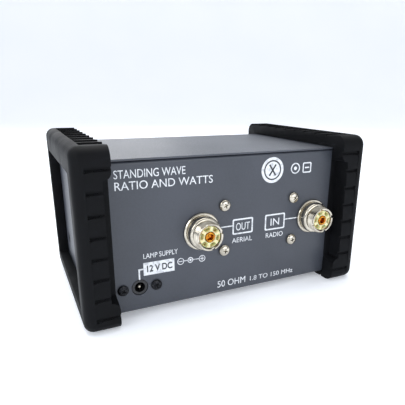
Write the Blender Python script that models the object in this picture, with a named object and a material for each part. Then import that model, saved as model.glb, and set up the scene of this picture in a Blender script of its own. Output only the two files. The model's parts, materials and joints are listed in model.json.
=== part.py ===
"""Bench SWR and power meter with two crossing needles, two UHF sockets and moulded end frames.

Dimensions below are millimetres and become metres when a mesh is made. +Z is up, the meter face
looks along -Y and the sockets along +Y. The origin is the middle of the footprint.
"""

import math

import bmesh
import bpy
from mathutils import Matrix, Vector

MM = 0.001
GAP = 0.3  # clearance kept between pieces that rest on each other

# Overall size, fixed by the two moulded end frames
WIDTH, DEPTH, HEIGHT = 175.0, 115.4, 95.0
FRAME_STANDOFF = 10.6  # how far a frame stands out past the front and rear panels
REACH = 59.6  # the knob in front and the sockets behind reach this far from the middle

# Sheet-metal case between the frames
SHEET = 1.0
CASE_X = 81.4
CASE_BOTTOM, CASE_TOP = 3.6, 87.1
PANEL_Y = DEPTH / 2 - FRAME_STANDOFF  # outer face of the rear panel; the front mirrors it
TRAY_X = CASE_X - SHEET - GAP
TRAY_TOP = CASE_TOP - SHEET - 0.4
TRAY_FRONT_Y = -44.8
FLANGE = 9.0
BEND = 1.6

# End frames
FRAME_INNER_X = 69.4
UPRIGHT_INNER_X = 73.7
FRAME_CORNER, FRAME_EDGE = 6.5, 5.0
LUG_HEIGHT, LUG_ROUND = 15.9, 4.0
WINDOW_MARGIN, WINDOW_CHAMFER = 11.7, 1.2
WINDOW_BOTTOM, WINDOW_TOP = 10.5, 81.8
RIB_OUTER_X = 81.7
RIB_MIDDLE_Z, RIB_PITCH_Z, RIB_PITCH_Y = 46.6, 10.9, 11.5
GROOVE_WIDTH, GROOVE_DEPTH, FOOT_GROOVE_DEPTH = 1.8, 1.2, 0.9
TOOTH_RISE = 0.9

# Rear sockets, coupler and power jack
OUTPUT_X, INPUT_X, SOCKET_Z = 19.7, -56.2, 44.5
SOCKET_BORE, THREAD_RADIUS, COLLAR_RADIUS, BASE_RING_RADIUS = 6.4, 7.95, 9.6, 10.8
COUPLER_SCREW_X = (5.5, -41.7)
COUPLER_SCREW_Z = (30.9, 57.9)
JACK_X, JACK_Z, JACK_SCREW_SPACING = 56.2, 17.3, 18.5
COUPLER_LOW = (-68.5, 19.0, 24.0)
COUPLER_HIGH = (31.8, PANEL_Y - SHEET - GAP, 62.4)

# Meter in the front panel
METER_X, METER_Z = -17.0, 44.8
METER_WIDTH, METER_HEIGHT = 102.0, 73.0
OPENING_WIDTH, OPENING_HEIGHT = 90.0, 61.0
BEZEL_Y = -51.6
MASK_TOP = 26.8
PIVOT_OFFSET, PIVOT_Z = 35.0, 22.5
NEEDLE_LENGTH, NEEDLE_REST, NEEDLE_SWEEP = 58.0, 13.0, 43.0

# Controls at the right of the meter
CONTROL_X, KNOB_Z, MODE_Z, LAMP_Z = 53.0, 58.0, 32.0, 18.5
KNOB_RADIUS, BUTTON_SIZE = 12.0, 8.0

FRONT, BACK = -1, 1
AXES = {"X": Vector((1, 0, 0)), "Y": Vector((0, 1, 0)), "Z": Vector((0, 0, 1))}

MATERIALS = {
    "panel_paint": ((0.105, 0.115, 0.135), 0.50, 0.0),
    "cover_paint": ((0.20, 0.215, 0.24), 0.45, 0.0),
    "frame_rubber": ((0.018, 0.018, 0.020), 0.55, 0.0),
    "nickel": ((0.74, 0.71, 0.64), 0.18, 1.0),
    "gold": ((0.85, 0.50, 0.14), 0.22, 1.0),
    "socket_insulator": ((0.78, 0.74, 0.52), 0.35, 0.0),
    "black_plastic": ((0.02, 0.02, 0.022), 0.40, 0.0),
    "black_screw": ((0.03, 0.03, 0.035), 0.30, 0.8),
    "clear_lens": ((0.92, 0.95, 0.95), 0.05, 0.0),
    "dial_card": ((0.86, 0.82, 0.66), 0.70, 0.0),
    "needle_paint": ((0.02, 0.02, 0.02), 0.45, 0.0),
    "tinned_steel": ((0.62, 0.63, 0.64), 0.30, 1.0),
    "magnet_steel": ((0.30, 0.30, 0.31), 0.40, 1.0),
    "copper": ((0.72, 0.36, 0.18), 0.30, 1.0),
    "brass": ((0.76, 0.60, 0.30), 0.28, 1.0),
    "ferrite": ((0.09, 0.09, 0.10), 0.65, 0.0),
    "circuit_board": ((0.05, 0.22, 0.11), 0.45, 0.0),
    "lamp_glass": ((0.95, 0.90, 0.72), 0.20, 0.0),
    "wire_sleeve": ((0.45, 0.05, 0.04), 0.50, 0.0),
}


# ---------------------------------------------------------------- helpers

def clear_scene():
    for old in list(bpy.data.objects):
        bpy.data.objects.remove(old, do_unlink=True)


def material(name):
    found = bpy.data.materials.get(name)
    if found:
        return found
    colour, roughness, metallic = MATERIALS[name]
    made = bpy.data.materials.new(name)
    made.use_nodes = True
    shader = made.node_tree.nodes["Principled BSDF"]
    shader.inputs["Base Color"].default_value = (*colour, 1)
    shader.inputs["Roughness"].default_value = roughness
    shader.inputs["Metallic"].default_value = metallic
    made.diffuse_color = (*colour, 1)
    return made


def make_object(name, shape, material_name, origin=(0, 0, 0), smooth=None):
    """Turns a bmesh in millimetres into a named object whose origin is the given point."""
    bmesh.ops.recalc_face_normals(shape, faces=shape.faces)
    shape.transform(Matrix.Scale(MM, 4) @ Matrix.Translation(-Vector(origin)))
    mesh = bpy.data.meshes.new(name)
    shape.to_mesh(mesh)
    shape.free()
    if smooth:
        mesh.shade_smooth()
        mesh.set_sharp_from_angle(angle=math.radians(smooth))
    mesh.materials.append(material(material_name))
    made = bpy.data.objects.new(name, mesh)
    made.location = Vector(origin) * MM
    bpy.context.scene.collection.objects.link(made)
    return made


def boolean(target, shape, operation="DIFFERENCE"):
    """Cuts a bmesh in millimetres out of the target, or joins it on, through a hidden helper."""
    number = len(target.modifiers)
    helper = make_object(f"{target.name}_helper_{number}", shape, "black_plastic")
    helper.hide_render = True
    helper.display_type = "WIRE"
    modifier = target.modifiers.new(f"{operation.lower()}_{number}", "BOOLEAN")
    modifier.operation = operation
    modifier.object = helper
    return target


def box(shape, low, high):
    size = Vector(high) - Vector(low)
    middle = (Vector(high) + Vector(low)) / 2
    place = Matrix.Translation(middle) @ Matrix.Diagonal((*size, 1))
    return bmesh.ops.create_cube(shape, size=1, matrix=place)["verts"]


def rounded_box(shape, low, high, radius, segments=2):
    verts = box(shape, low, high)
    edges = list({edge for vert in verts for edge in vert.link_edges})
    bmesh.ops.bevel(shape, geom=edges, offset=radius, segments=segments, affect="EDGES", profile=0.5)


def boxes(*corners):
    shape = bmesh.new()
    for low, high in corners:
        box(shape, low, high)
    return shape


def along(axis):
    """A rotation that turns +Z onto the named axis."""
    return Vector((0, 0, 1)).rotation_difference(AXES[axis]).to_matrix().to_4x4()


def cylinder(shape, middle, radius, length, axis="Y", segments=20, tip=None):
    place = Matrix.Translation(Vector(middle)) @ along(axis)
    bmesh.ops.create_cone(shape, cap_ends=True, segments=segments, radius1=radius,
                          radius2=radius if tip is None else tip, depth=length, matrix=place)


def cylinders(*rows, axis="Y", segments=20):
    """Each row is a middle, a radius and a length."""
    shape = bmesh.new()
    for middle, radius, length in rows:
        cylinder(shape, middle, radius, length, axis, segments)
    return shape


def prism(shape, outline, axis, start, end):
    """Extrudes a closed outline along X, Y or Z. The outline's pairs are the other two axes in order."""
    order = {"X": lambda u, v: (start, u, v), "Y": lambda u, v: (u, start, v),
             "Z": lambda u, v: (u, v, start)}[axis]
    face = shape.faces.new([shape.verts.new(order(u, v)) for u, v in outline])
    grown = bmesh.ops.extrude_face_region(shape, geom=[face])["geom"]
    moved = [item for item in grown if isinstance(item, bmesh.types.BMVert)]
    bmesh.ops.translate(shape, verts=moved, vec=AXES[axis] * (end - start))


def turned(shape, profile, middle, axis="Y", segments=28, closed=True):
    """Spins (radius, height) points about an axis through the middle. An open profile starts and
    ends on the axis."""
    start = len(shape.verts)
    verts = [shape.verts.new((radius, 0, height)) for radius, height in profile]
    pairs = list(zip(verts, verts[1:] + verts[:1])) if closed else list(zip(verts, verts[1:]))
    edges = [shape.edges.new(pair) for pair in pairs]
    bmesh.ops.spin(shape, geom=verts + edges, cent=(0, 0, 0), axis=(0, 0, 1),
                   angle=2 * math.pi, steps=segments, use_merge=True)
    shape.verts.ensure_lookup_table()
    made = shape.verts[start:]
    bmesh.ops.remove_doubles(shape, verts=made, dist=1e-4)
    shape.verts.ensure_lookup_table()
    place = Matrix.Translation(Vector(middle)) @ along(axis)
    bmesh.ops.transform(shape, matrix=place, verts=shape.verts[start:])


def arc(centre, radius, first, last, steps):
    """Points on a circle from one angle to another, in degrees."""
    angles = [math.radians(first + (last - first) * i / steps) for i in range(steps + 1)]
    return [(centre[0] + radius * math.cos(a), centre[1] + radius * math.sin(a)) for a in angles]


def mirrored_x(shape):
    bmesh.ops.scale(shape, vec=(-1, 1, 1), verts=shape.verts)
    return shape


def handed(shape, side):
    """The shape as drawn on the +X side, or its mirror image."""
    return shape if side > 0 else mirrored_x(shape)


def wire(name, points, radius, material_name):
    """A tube along a smooth curve through the points."""
    resampled = smooth_route([Vector(point) for point in points], per_span=4)
    curve = bpy.data.curves.new(name, "CURVE")
    curve.dimensions = "3D"
    curve.bevel_depth = radius * MM
    curve.bevel_resolution = 1
    curve.use_fill_caps = True
    spline = curve.splines.new("POLY")
    spline.points.add(len(resampled) - 1)
    for point, place in zip(spline.points, resampled):
        point.co = (*(place * MM), 1)
    curve.materials.append(material(material_name))
    made = bpy.data.objects.new(name, curve)
    bpy.context.scene.collection.objects.link(made)
    return made


def smooth_route(points, per_span):
    """Catmull-Rom points through the route."""
    ends = [points[0] * 2 - points[1], *points, points[-1] * 2 - points[-2]]
    route = []
    for a, b, c, d in zip(ends, ends[1:], ends[2:], ends[3:]):
        for i in range(per_span):
            t = i / per_span
            route.append(0.5 * (2 * b + (c - a) * t + (2 * a - 5 * b + 4 * c - d) * t**2
                                + (3 * b - a - 3 * c + d) * t**3))
    return [*route, points[-1]]


# ---------------------------------------------------------------- enclosure

def chassis_tray():
    """Bottom, rear panel and front subpanel bent from one sheet, with flanges along both tops."""
    y0, y1, z0, z1 = TRAY_FRONT_Y, PANEL_Y, CASE_BOTTOM, TRAY_TOP
    inner = BEND - SHEET
    outer_line = (
        [(y0 + FLANGE, z1)]
        + arc((y0 + BEND, z1 - BEND), BEND, 90, 180, 3) + arc((y0 + BEND, z0 + BEND), BEND, 180, 270, 3)
        + arc((y1 - BEND, z0 + BEND), BEND, 270, 360, 3) + arc((y1 - BEND, z1 - BEND), BEND, 0, 90, 3)
        + [(y1 - FLANGE, z1)])
    inner_line = (
        [(y1 - FLANGE, z1 - SHEET)]
        + arc((y1 - BEND, z1 - BEND), inner, 90, 0, 2) + arc((y1 - BEND, z0 + BEND), inner, 360, 270, 2)
        + arc((y0 + BEND, z0 + BEND), inner, 270, 180, 2) + arc((y0 + BEND, z1 - BEND), inner, 180, 90, 2)
        + [(y0 + FLANGE, z1 - SHEET)])
    shape = bmesh.new()
    prism(shape, outer_line + inner_line, "X", -TRAY_X, TRAY_X)
    tray = make_object("chassis_tray", shape, "panel_paint", smooth=30)
    boolean(tray, side_tabs(), "UNION")
    boolean(tray, rear_holes())
    boolean(tray, front_subpanel_holes())
    return boolean(tray, side_screw_holes(1.75))


SIDE_SCREW_Y, SIDE_SCREW_Z, TAB_TOP = 34.0, 24.0, 31.0


def side_tabs():
    return boxes(*[((side * TRAY_X - (SHEET if side > 0 else 0), y - 7, CASE_BOTTOM + 0.4),
                    (side * TRAY_X + (0 if side > 0 else SHEET), y + 7, TAB_TOP))
                   for side in (1, -1) for y in (-SIDE_SCREW_Y, SIDE_SCREW_Y)])


def side_screw_holes(radius):
    return cylinders(*[((side * CASE_X, y, SIDE_SCREW_Z), radius, 8)
                       for side in (1, -1) for y in (-SIDE_SCREW_Y, SIDE_SCREW_Y)],
                     axis="X", segments=16)


def rear_holes():
    shape = cylinders(((OUTPUT_X, PANEL_Y, SOCKET_Z), 8.2, 6), ((INPUT_X, PANEL_Y, SOCKET_Z), 8.2, 6),
                      ((JACK_X, PANEL_Y, JACK_Z), 4.6, 6), segments=28)
    for x in COUPLER_SCREW_X:
        for z in COUPLER_SCREW_Z:
            cylinder(shape, (x, PANEL_Y, z), 2.3, 6, segments=12)
    for side in (1, -1):
        cylinder(shape, (JACK_X + side * JACK_SCREW_SPACING / 2, PANEL_Y, JACK_Z), 1.9, 6, segments=12)
    return shape


def front_subpanel_holes():
    tub_x, tub_z = METER_WIDTH / 2 - 3 + 2 * GAP, METER_HEIGHT / 2 - 3 + 2 * GAP
    half = BUTTON_SIZE / 2 + 0.5
    shape = boxes(((METER_X - tub_x, -60, METER_Z - tub_z), (METER_X + tub_x, -40, METER_Z + tub_z)),
                  *[((CONTROL_X - half, -60, z - half), (CONTROL_X + half, -40, z + half))
                    for z in (MODE_Z, LAMP_Z)])
    cylinder(shape, (CONTROL_X, -50, KNOB_Z), 4.9, 20)
    return shape


def top_cover():
    """Top and both sides in one painted sheet, open at the bottom."""
    x1, z0, z1 = CASE_X, CASE_BOTTOM, CASE_TOP
    inner = BEND - SHEET
    outline = ([(x1, z0)] + arc((x1 - BEND, z1 - BEND), BEND, 0, 90, 3)
               + arc((BEND - x1, z1 - BEND), BEND, 90, 180, 3) + [(-x1, z0), (SHEET - x1, z0)]
               + arc((BEND - x1, z1 - BEND), inner, 180, 90, 2)
               + arc((x1 - BEND, z1 - BEND), inner, 90, 0, 2) + [(x1 - SHEET, z0)])
    shape = bmesh.new()
    prism(shape, outline, "Y", 0.2 - PANEL_Y, PANEL_Y - 0.1)
    return boolean(make_object("top_cover", shape, "cover_paint", smooth=30), side_screw_holes(3.4))


def front_panel():
    """Fascia that carries the meter, the knob and the two buttons."""
    shape = bmesh.new()
    rounded_box(shape, (-TRAY_X, -PANEL_Y, CASE_BOTTOM + 0.3), (TRAY_X, TRAY_FRONT_Y - GAP, TRAY_TOP),
                0.4, 1)
    return boolean(make_object("front_panel", shape, "panel_paint"), front_subpanel_holes())


def side_frame(name, side):
    """Moulded bumper that wraps one end of the case, with a window and ribbed edges."""
    half_y = DEPTH / 2
    shape = bmesh.new()
    box(shape, (FRAME_INNER_X, -half_y, 0), (WIDTH / 2, half_y, HEIGHT))
    corners = [edge for edge in shape.edges if abs(edge.verts[0].co.x - edge.verts[1].co.x) > 1]
    bmesh.ops.bevel(shape, geom=corners, offset=FRAME_CORNER, segments=3, affect="EDGES", profile=0.5)
    rim = [edge for edge in shape.edges if all(abs(v.co.x - WIDTH / 2) < 1e-4 for v in edge.verts)]
    bmesh.ops.bevel(shape, geom=rim, offset=FRAME_EDGE, segments=3, affect="EDGES", profile=0.5)
    frame = make_object(name, handed(shape, side), "frame_rubber", smooth=40)
    boolean(frame, handed(case_pocket(), side))
    boolean(frame, handed(frame_window(), side))
    boolean(frame, handed(frame_grooves(), side))
    return boolean(frame, handed(top_teeth(), side))


def case_pocket():
    """The case's own space, and the relief between the corner lugs in front and behind."""
    shape = boxes(((50, -PANEL_Y - GAP, CASE_BOTTOM - GAP), (CASE_X + GAP, PANEL_Y + GAP, CASE_TOP + GAP)))
    low, high, round_x = LUG_HEIGHT, HEIGHT - LUG_HEIGHT, FRAME_INNER_X + LUG_ROUND
    outline = ([(50, low - LUG_ROUND)] + arc((round_x, low - LUG_ROUND), LUG_ROUND, 180, 90, 3)
               + [(UPRIGHT_INNER_X, low + 0.6), (UPRIGHT_INNER_X, high - 0.6)]
               + arc((round_x, high + LUG_ROUND), LUG_ROUND, 270, 180, 3) + [(50, high + LUG_ROUND)])
    for end in (FRONT, BACK):
        prism(shape, outline, "Y", end * (PANEL_Y + 0.6), end * 70)
    return shape


def frame_window():
    """Window through the outer wall with chamfered corners."""
    y, c = DEPTH / 2 - WINDOW_MARGIN, WINDOW_CHAMFER
    z0, z1 = WINDOW_BOTTOM, WINDOW_TOP
    shape = bmesh.new()
    prism(shape, [(-y + c, z0), (y - c, z0), (y, z0 + c), (y, z1 - c), (y - c, z1), (c - y, z1),
                  (-y, z1 - c), (-y, z0 + c)], "X", 78, 95)
    return shape


def frame_grooves():
    """Straight grooves across the front, rear and bottom faces."""
    half, deep = GROOVE_WIDTH / 2, GROOVE_DEPTH
    rows = []
    for i in range(8):
        z = RIB_MIDDLE_Z + (i - 3.5) * RIB_PITCH_Z
        for end in (FRONT, BACK):
            ys = sorted((end * (DEPTH / 2 - deep), end * 70))
            rows.append(((50, ys[0], z - half), (RIB_OUTER_X, ys[1], z + half)))
    for i in range(9):
        y = (i - 4) * RIB_PITCH_Y
        rows.append(((50, y - half, -10), (RIB_OUTER_X, y + half, FOOT_GROOVE_DEPTH)))
    return boxes(*rows)


def top_teeth():
    """The top face is cut to a rack of shallow teeth that rise towards the rear."""
    low, high = HEIGHT - GROOVE_DEPTH - 0.6, HEIGHT - TOOTH_RISE
    outline = [(-DEPTH / 2 + FRAME_CORNER - 1, HEIGHT + 9)]
    for i in range(9):
        y = (i - 4.5) * RIB_PITCH_Y
        outline += [(y, HEIGHT), (y + 0.1, low), (y + GROOVE_WIDTH, low), (y + GROOVE_WIDTH + 0.1, high)]
    outline += [(4.5 * RIB_PITCH_Y, HEIGHT), (DEPTH / 2 - FRAME_CORNER + 1, HEIGHT + 9)]
    shape = bmesh.new()
    prism(shape, outline, "X", 50, RIB_OUTER_X)
    return shape


# ---------------------------------------------------------------- fasteners

def screw(name, place, direction, head, shank, material_name, flush=False):
    """A cross-recessed screw. Its head faces direction; head and shank are (radius, length)."""
    radius, height = head
    sink = -height if flush else 0.0
    if flush:
        cap = [(0, 0), (radius, 0), (radius, sink * 0.35), (shank[0], sink)]
    else:
        cap = [(0, height)] + [(radius * math.sin(a), height * (0.25 + 0.75 * math.cos(a)))
                               for a in (math.radians(28), math.radians(56), math.radians(84))]
        cap += [(radius, 0), (shank[0], 0)]
    shape = bmesh.new()
    turned(shape, cap + [(shank[0], sink - shank[1]), (0, sink - shank[1] - 0.4)], (0, 0, 0), "Z", 16,
           closed=False)
    turn = Vector((0, 0, 1)).rotation_difference(Vector(direction)).to_matrix().to_4x4()
    top = 0.0 if flush else height
    arm, wide, deep = radius * 0.55, radius * 0.13, height * 0.55
    cross = boxes(((-arm, -wide, top - deep), (arm, wide, top + 2)))
    slot = boxes(((-wide, -arm, top - deep), (wide, arm, top + 2)))
    move = Matrix.Translation(Vector(place)) @ turn
    for item in (shape, cross, slot):
        item.transform(move)
    made = make_object(name, shape, material_name, smooth=35)
    boolean(made, cross)
    return boolean(made, slot)


def all_screws():
    for side, label in ((1, "right"), (-1, "left")):
        for y, end in ((-SIDE_SCREW_Y, "front"), (SIDE_SCREW_Y, "rear")):
            screw(f"side_screw_{label}_{end}", (side * CASE_X, y, SIDE_SCREW_Z), (side, 0, 0),
                  (3.0, SHEET), (1.4, 4.0), "black_screw", flush=True)
    for x, label in zip(COUPLER_SCREW_X, ("output", "input")):
        for z, level in zip(COUPLER_SCREW_Z, ("lower", "upper")):
            screw(f"coupler_screw_{label}_{level}", (x, PANEL_Y + GAP, z), (0, 1, 0),
                  (3.5, 2.3), (1.9, 6.5), "nickel")
    for side, label in ((1, "right"), (-1, "left")):
        screw(f"jack_screw_{label}", (JACK_X + side * JACK_SCREW_SPACING / 2, PANEL_Y + GAP, JACK_Z),
              (0, 1, 0), (3.1, 1.5), (1.5, 5.5), "black_screw")


# ---------------------------------------------------------------- rear sockets and coupler

def uhf_socket(label, x):
    """Base ring, threaded shell, moulded insulator and spring contact of one UHF socket."""
    centre = (x, 0, SOCKET_Z)
    ring_y = PANEL_Y + GAP
    shape = bmesh.new()
    turned(shape, [(8.3, ring_y), (BASE_RING_RADIUS, ring_y), (BASE_RING_RADIUS, ring_y + 1.1),
                   (BASE_RING_RADIUS - 0.5, ring_y + 1.5), (8.3, ring_y + 1.5)], centre)
    make_object(f"{label}_base_ring", shape, "nickel", smooth=30)

    collar_y = ring_y + 1.5 + GAP
    thread_y = collar_y + 4.6
    shape = bmesh.new()
    turned(shape, [(SOCKET_BORE, PANEL_Y - 4), (7.8, PANEL_Y - 4), (7.8, collar_y), (COLLAR_RADIUS, collar_y),
                   (COLLAR_RADIUS, thread_y - 0.6), (COLLAR_RADIUS - 0.6, thread_y),
                   (THREAD_RADIUS - 0.7, thread_y), (THREAD_RADIUS - 0.7, thread_y + 0.8),
                   (THREAD_RADIUS, thread_y + 1.2), (THREAD_RADIUS, REACH - 0.5), (THREAD_RADIUS - 0.5, REACH),
                   (SOCKET_BORE, REACH)], centre, segments=32)
    shell = make_object(f"{label}_shell", shape, "nickel", smooth=30)
    notch = bmesh.new()
    for degrees in (15, 105, 195, 285):
        arm = bmesh.new()
        box(arm, (5.5, -3, -0.9), (9.5, 3, 0.9))
        arm.transform(Matrix.Translation((x, REACH + 1.8, SOCKET_Z))
                      @ Matrix.Rotation(math.radians(degrees), 4, "Y"))
        piece = bpy.data.meshes.new("notch")
        arm.to_mesh(piece)
        arm.free()
        notch.from_mesh(piece)
        bpy.data.meshes.remove(piece)
    boolean(shell, notch)

    face_y = REACH - 1.3
    shape = bmesh.new()
    turned(shape, [(3.1, PANEL_Y - 6), (6.1, PANEL_Y - 6), (6.1, face_y), (3.1, face_y)], centre,
           segments=24)
    insulator = make_object(f"{label}_insulator", shape, "socket_insulator", smooth=30)
    boolean(insulator, cylinders(*[((x + 4.6 * math.cos(a), face_y, SOCKET_Z + 4.6 * math.sin(a)), 1.0, 4)
                                   for a in [math.radians(60 * i + 5) for i in range(6)]], segments=8))

    shape = bmesh.new()
    turned(shape, [(2.0, PANEL_Y - 2), (2.8, PANEL_Y - 2 - 0.01), (2.8, face_y + 0.6), (2.5, face_y + 0.9),
                   (2.0, face_y + 0.9)], centre, segments=20)
    contact = make_object(f"{label}_contact", shape, "gold", smooth=30)
    pin = bmesh.new()
    cylinder(pin, (x, PANEL_Y - 7, SOCKET_Z), 2.4, 11, segments=20)
    boolean(contact, pin, "UNION")


LINE_Y = PANEL_Y - 15.0


def coupler():
    """Screening box behind the rear panel with the through line, current transformer and board."""
    low, high = Vector(COUPLER_LOW), Vector(COUPLER_HIGH)
    wall = Vector((1, 0, 1))
    tub = make_object("coupler_box", boxes((low, high)), "tinned_steel")
    bosses = cylinders(*[((x, high.y - 2.4, z), 4.0, 4.4) for x in COUPLER_SCREW_X for z in COUPLER_SCREW_Z],
                       segments=16)
    boolean(tub, boxes((low + wall - Vector((0, 5, 0)), high - wall - Vector((0, 1, 0)))))
    boolean(tub, bosses, "UNION")
    holes = cylinders(*[((x, high.y, z), 2.25, 14) for x in COUPLER_SCREW_X for z in COUPLER_SCREW_Z],
                      segments=12)
    for x in (OUTPUT_X, INPUT_X):
        cylinder(holes, (x, high.y, SOCKET_Z), 8.2, 8, segments=28)
    cylinder(holes, (high.x, 30, 33), 2.5, 8, "X", 12)
    boolean(tub, holes)
    shape = bmesh.new()
    box(shape, (low.x, low.y - GAP - SHEET, low.z), (high.x, low.y - GAP, high.z))
    make_object("coupler_lid", shape, "tinned_steel")

    shape = bmesh.new()
    cylinder(shape, ((OUTPUT_X + INPUT_X) / 2, LINE_Y, SOCKET_Z), 1.6, OUTPUT_X - INPUT_X + 4, "X", 14)
    make_object("coupler_line", shape, "copper", smooth=40)
    shape = bmesh.new()
    turned(shape, [(5, -3), (6, -4), (10, -4), (11, -3), (11, 3), (10, 4), (6, 4), (5, 3)],
           ((OUTPUT_X + INPUT_X) / 2, LINE_Y, SOCKET_Z), "X", 24)
    make_object("current_transformer_core", shape, "ferrite", smooth=35)
    shape = bmesh.new()
    box(shape, (-50, 21, 26.0), (14, 40, 27.6))
    make_object("coupler_board", shape, "circuit_board")


def power_jack():
    """Barrel jack behind the rear panel, with its centre pin."""
    nose_y = PANEL_Y - 0.2
    shape = boxes(((JACK_X - 12.5, PANEL_Y - SHEET - GAP - 2, JACK_Z - 5),
                   (JACK_X + 12.5, PANEL_Y - SHEET - GAP, JACK_Z + 5)))
    body = make_object("power_jack_body", shape, "black_plastic")
    boolean(body, boxes(((JACK_X - 5.5, PANEL_Y - 15, JACK_Z - 5.5),
                         (JACK_X + 5.5, PANEL_Y - SHEET - GAP - 1, JACK_Z + 5.5))), "UNION")
    barrel = bmesh.new()
    cylinder(barrel, (JACK_X, nose_y - 2.6, JACK_Z), 4.2, 5.2, segments=24)
    boolean(body, barrel, "UNION")
    holes = cylinders(((JACK_X, nose_y, JACK_Z), 2.9, 20), segments=20)
    for side in (1, -1):
        cylinder(holes, (JACK_X + side * JACK_SCREW_SPACING / 2, nose_y - 2, JACK_Z), 1.9, 10, segments=12)
    boolean(body, holes)
    shape = bmesh.new()
    turned(shape, [(0, PANEL_Y - 9.6), (1.05, PANEL_Y - 9.6), (1.05, PANEL_Y - 1.4), (0.6, PANEL_Y - 0.9),
                   (0, PANEL_Y - 0.8)], (JACK_X, 0, JACK_Z), segments=14, closed=False)
    make_object("power_jack_pin", shape, "nickel", smooth=35)


# ---------------------------------------------------------------- meter

def meter_body():
    """Bezel and tub in one moulding, then lens, apron, dial and lamp parts."""
    half_w, half_h = METER_WIDTH / 2, METER_HEIGHT / 2
    bezel_back = -PANEL_Y - GAP
    shape = bmesh.new()
    rounded_box(shape, (METER_X - half_w, BEZEL_Y, METER_Z - half_h),
                (METER_X + half_w, bezel_back, METER_Z + half_h), 1.2, 2)
    housing = make_object("meter_housing", shape, "black_plastic", smooth=40)
    boolean(housing, boxes(((METER_X - half_w + 3, bezel_back - 1, METER_Z - half_h + 3),
                            (METER_X + half_w - 3, -20, METER_Z + half_h - 3))), "UNION")
    in_w, in_h = OPENING_WIDTH / 2, OPENING_HEIGHT / 2
    boolean(housing, boxes(((METER_X - in_w, BEZEL_Y - 5, METER_Z - in_h),
                            (METER_X + in_w, -21.5, METER_Z + in_h))))
    x0, x1 = METER_X - in_w + GAP, METER_X + in_w - GAP
    z0, z1 = METER_Z - in_h + GAP, METER_Z + in_h - GAP
    shape = bmesh.new()
    rounded_box(shape, (x0, -50.4, MASK_TOP + GAP), (x1, -48.6, z1), 0.5, 2)
    make_object("meter_lens", shape, "clear_lens", smooth=40)
    shape = bmesh.new()
    rounded_box(shape, (x0, -50.4, z0), (x1, -47.4, MASK_TOP), 0.5, 2)
    boolean(make_object("meter_apron", shape, "black_plastic", smooth=40),
            cylinders(*[((METER_X + s * PIVOT_OFFSET, -49, 20.5), 2.6, 8) for s in (1, -1)], segments=20))
    dial = make_object("meter_dial", boxes(((x0, -41.2, z0), (x1, -40.4, z1))), "dial_card")
    boolean(dial, cylinders(*[((METER_X + s * PIVOT_OFFSET, -41, PIVOT_Z), 3.5, 6) for s in (1, -1)],
                            segments=16))
    make_object("lamp_board", boxes(((METER_X - 34, -23.6, 40), (METER_X + 34, -22, 68))), "circuit_board")
    for side, label in ((1, "right"), (-1, "left")):
        shape = bmesh.new()
        turned(shape, [(0, -29.6), (1.3, -29.3), (2.2, -28.3), (2.5, -27.0), (2.5, -24.9), (2.9, -24.9),
                       (2.9, -23.9), (0, -23.9)], (METER_X + side * 22, 0, 54), segments=14, closed=False)
        make_object(f"meter_lamp_{label}", shape, "lamp_glass", smooth=40)


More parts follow.
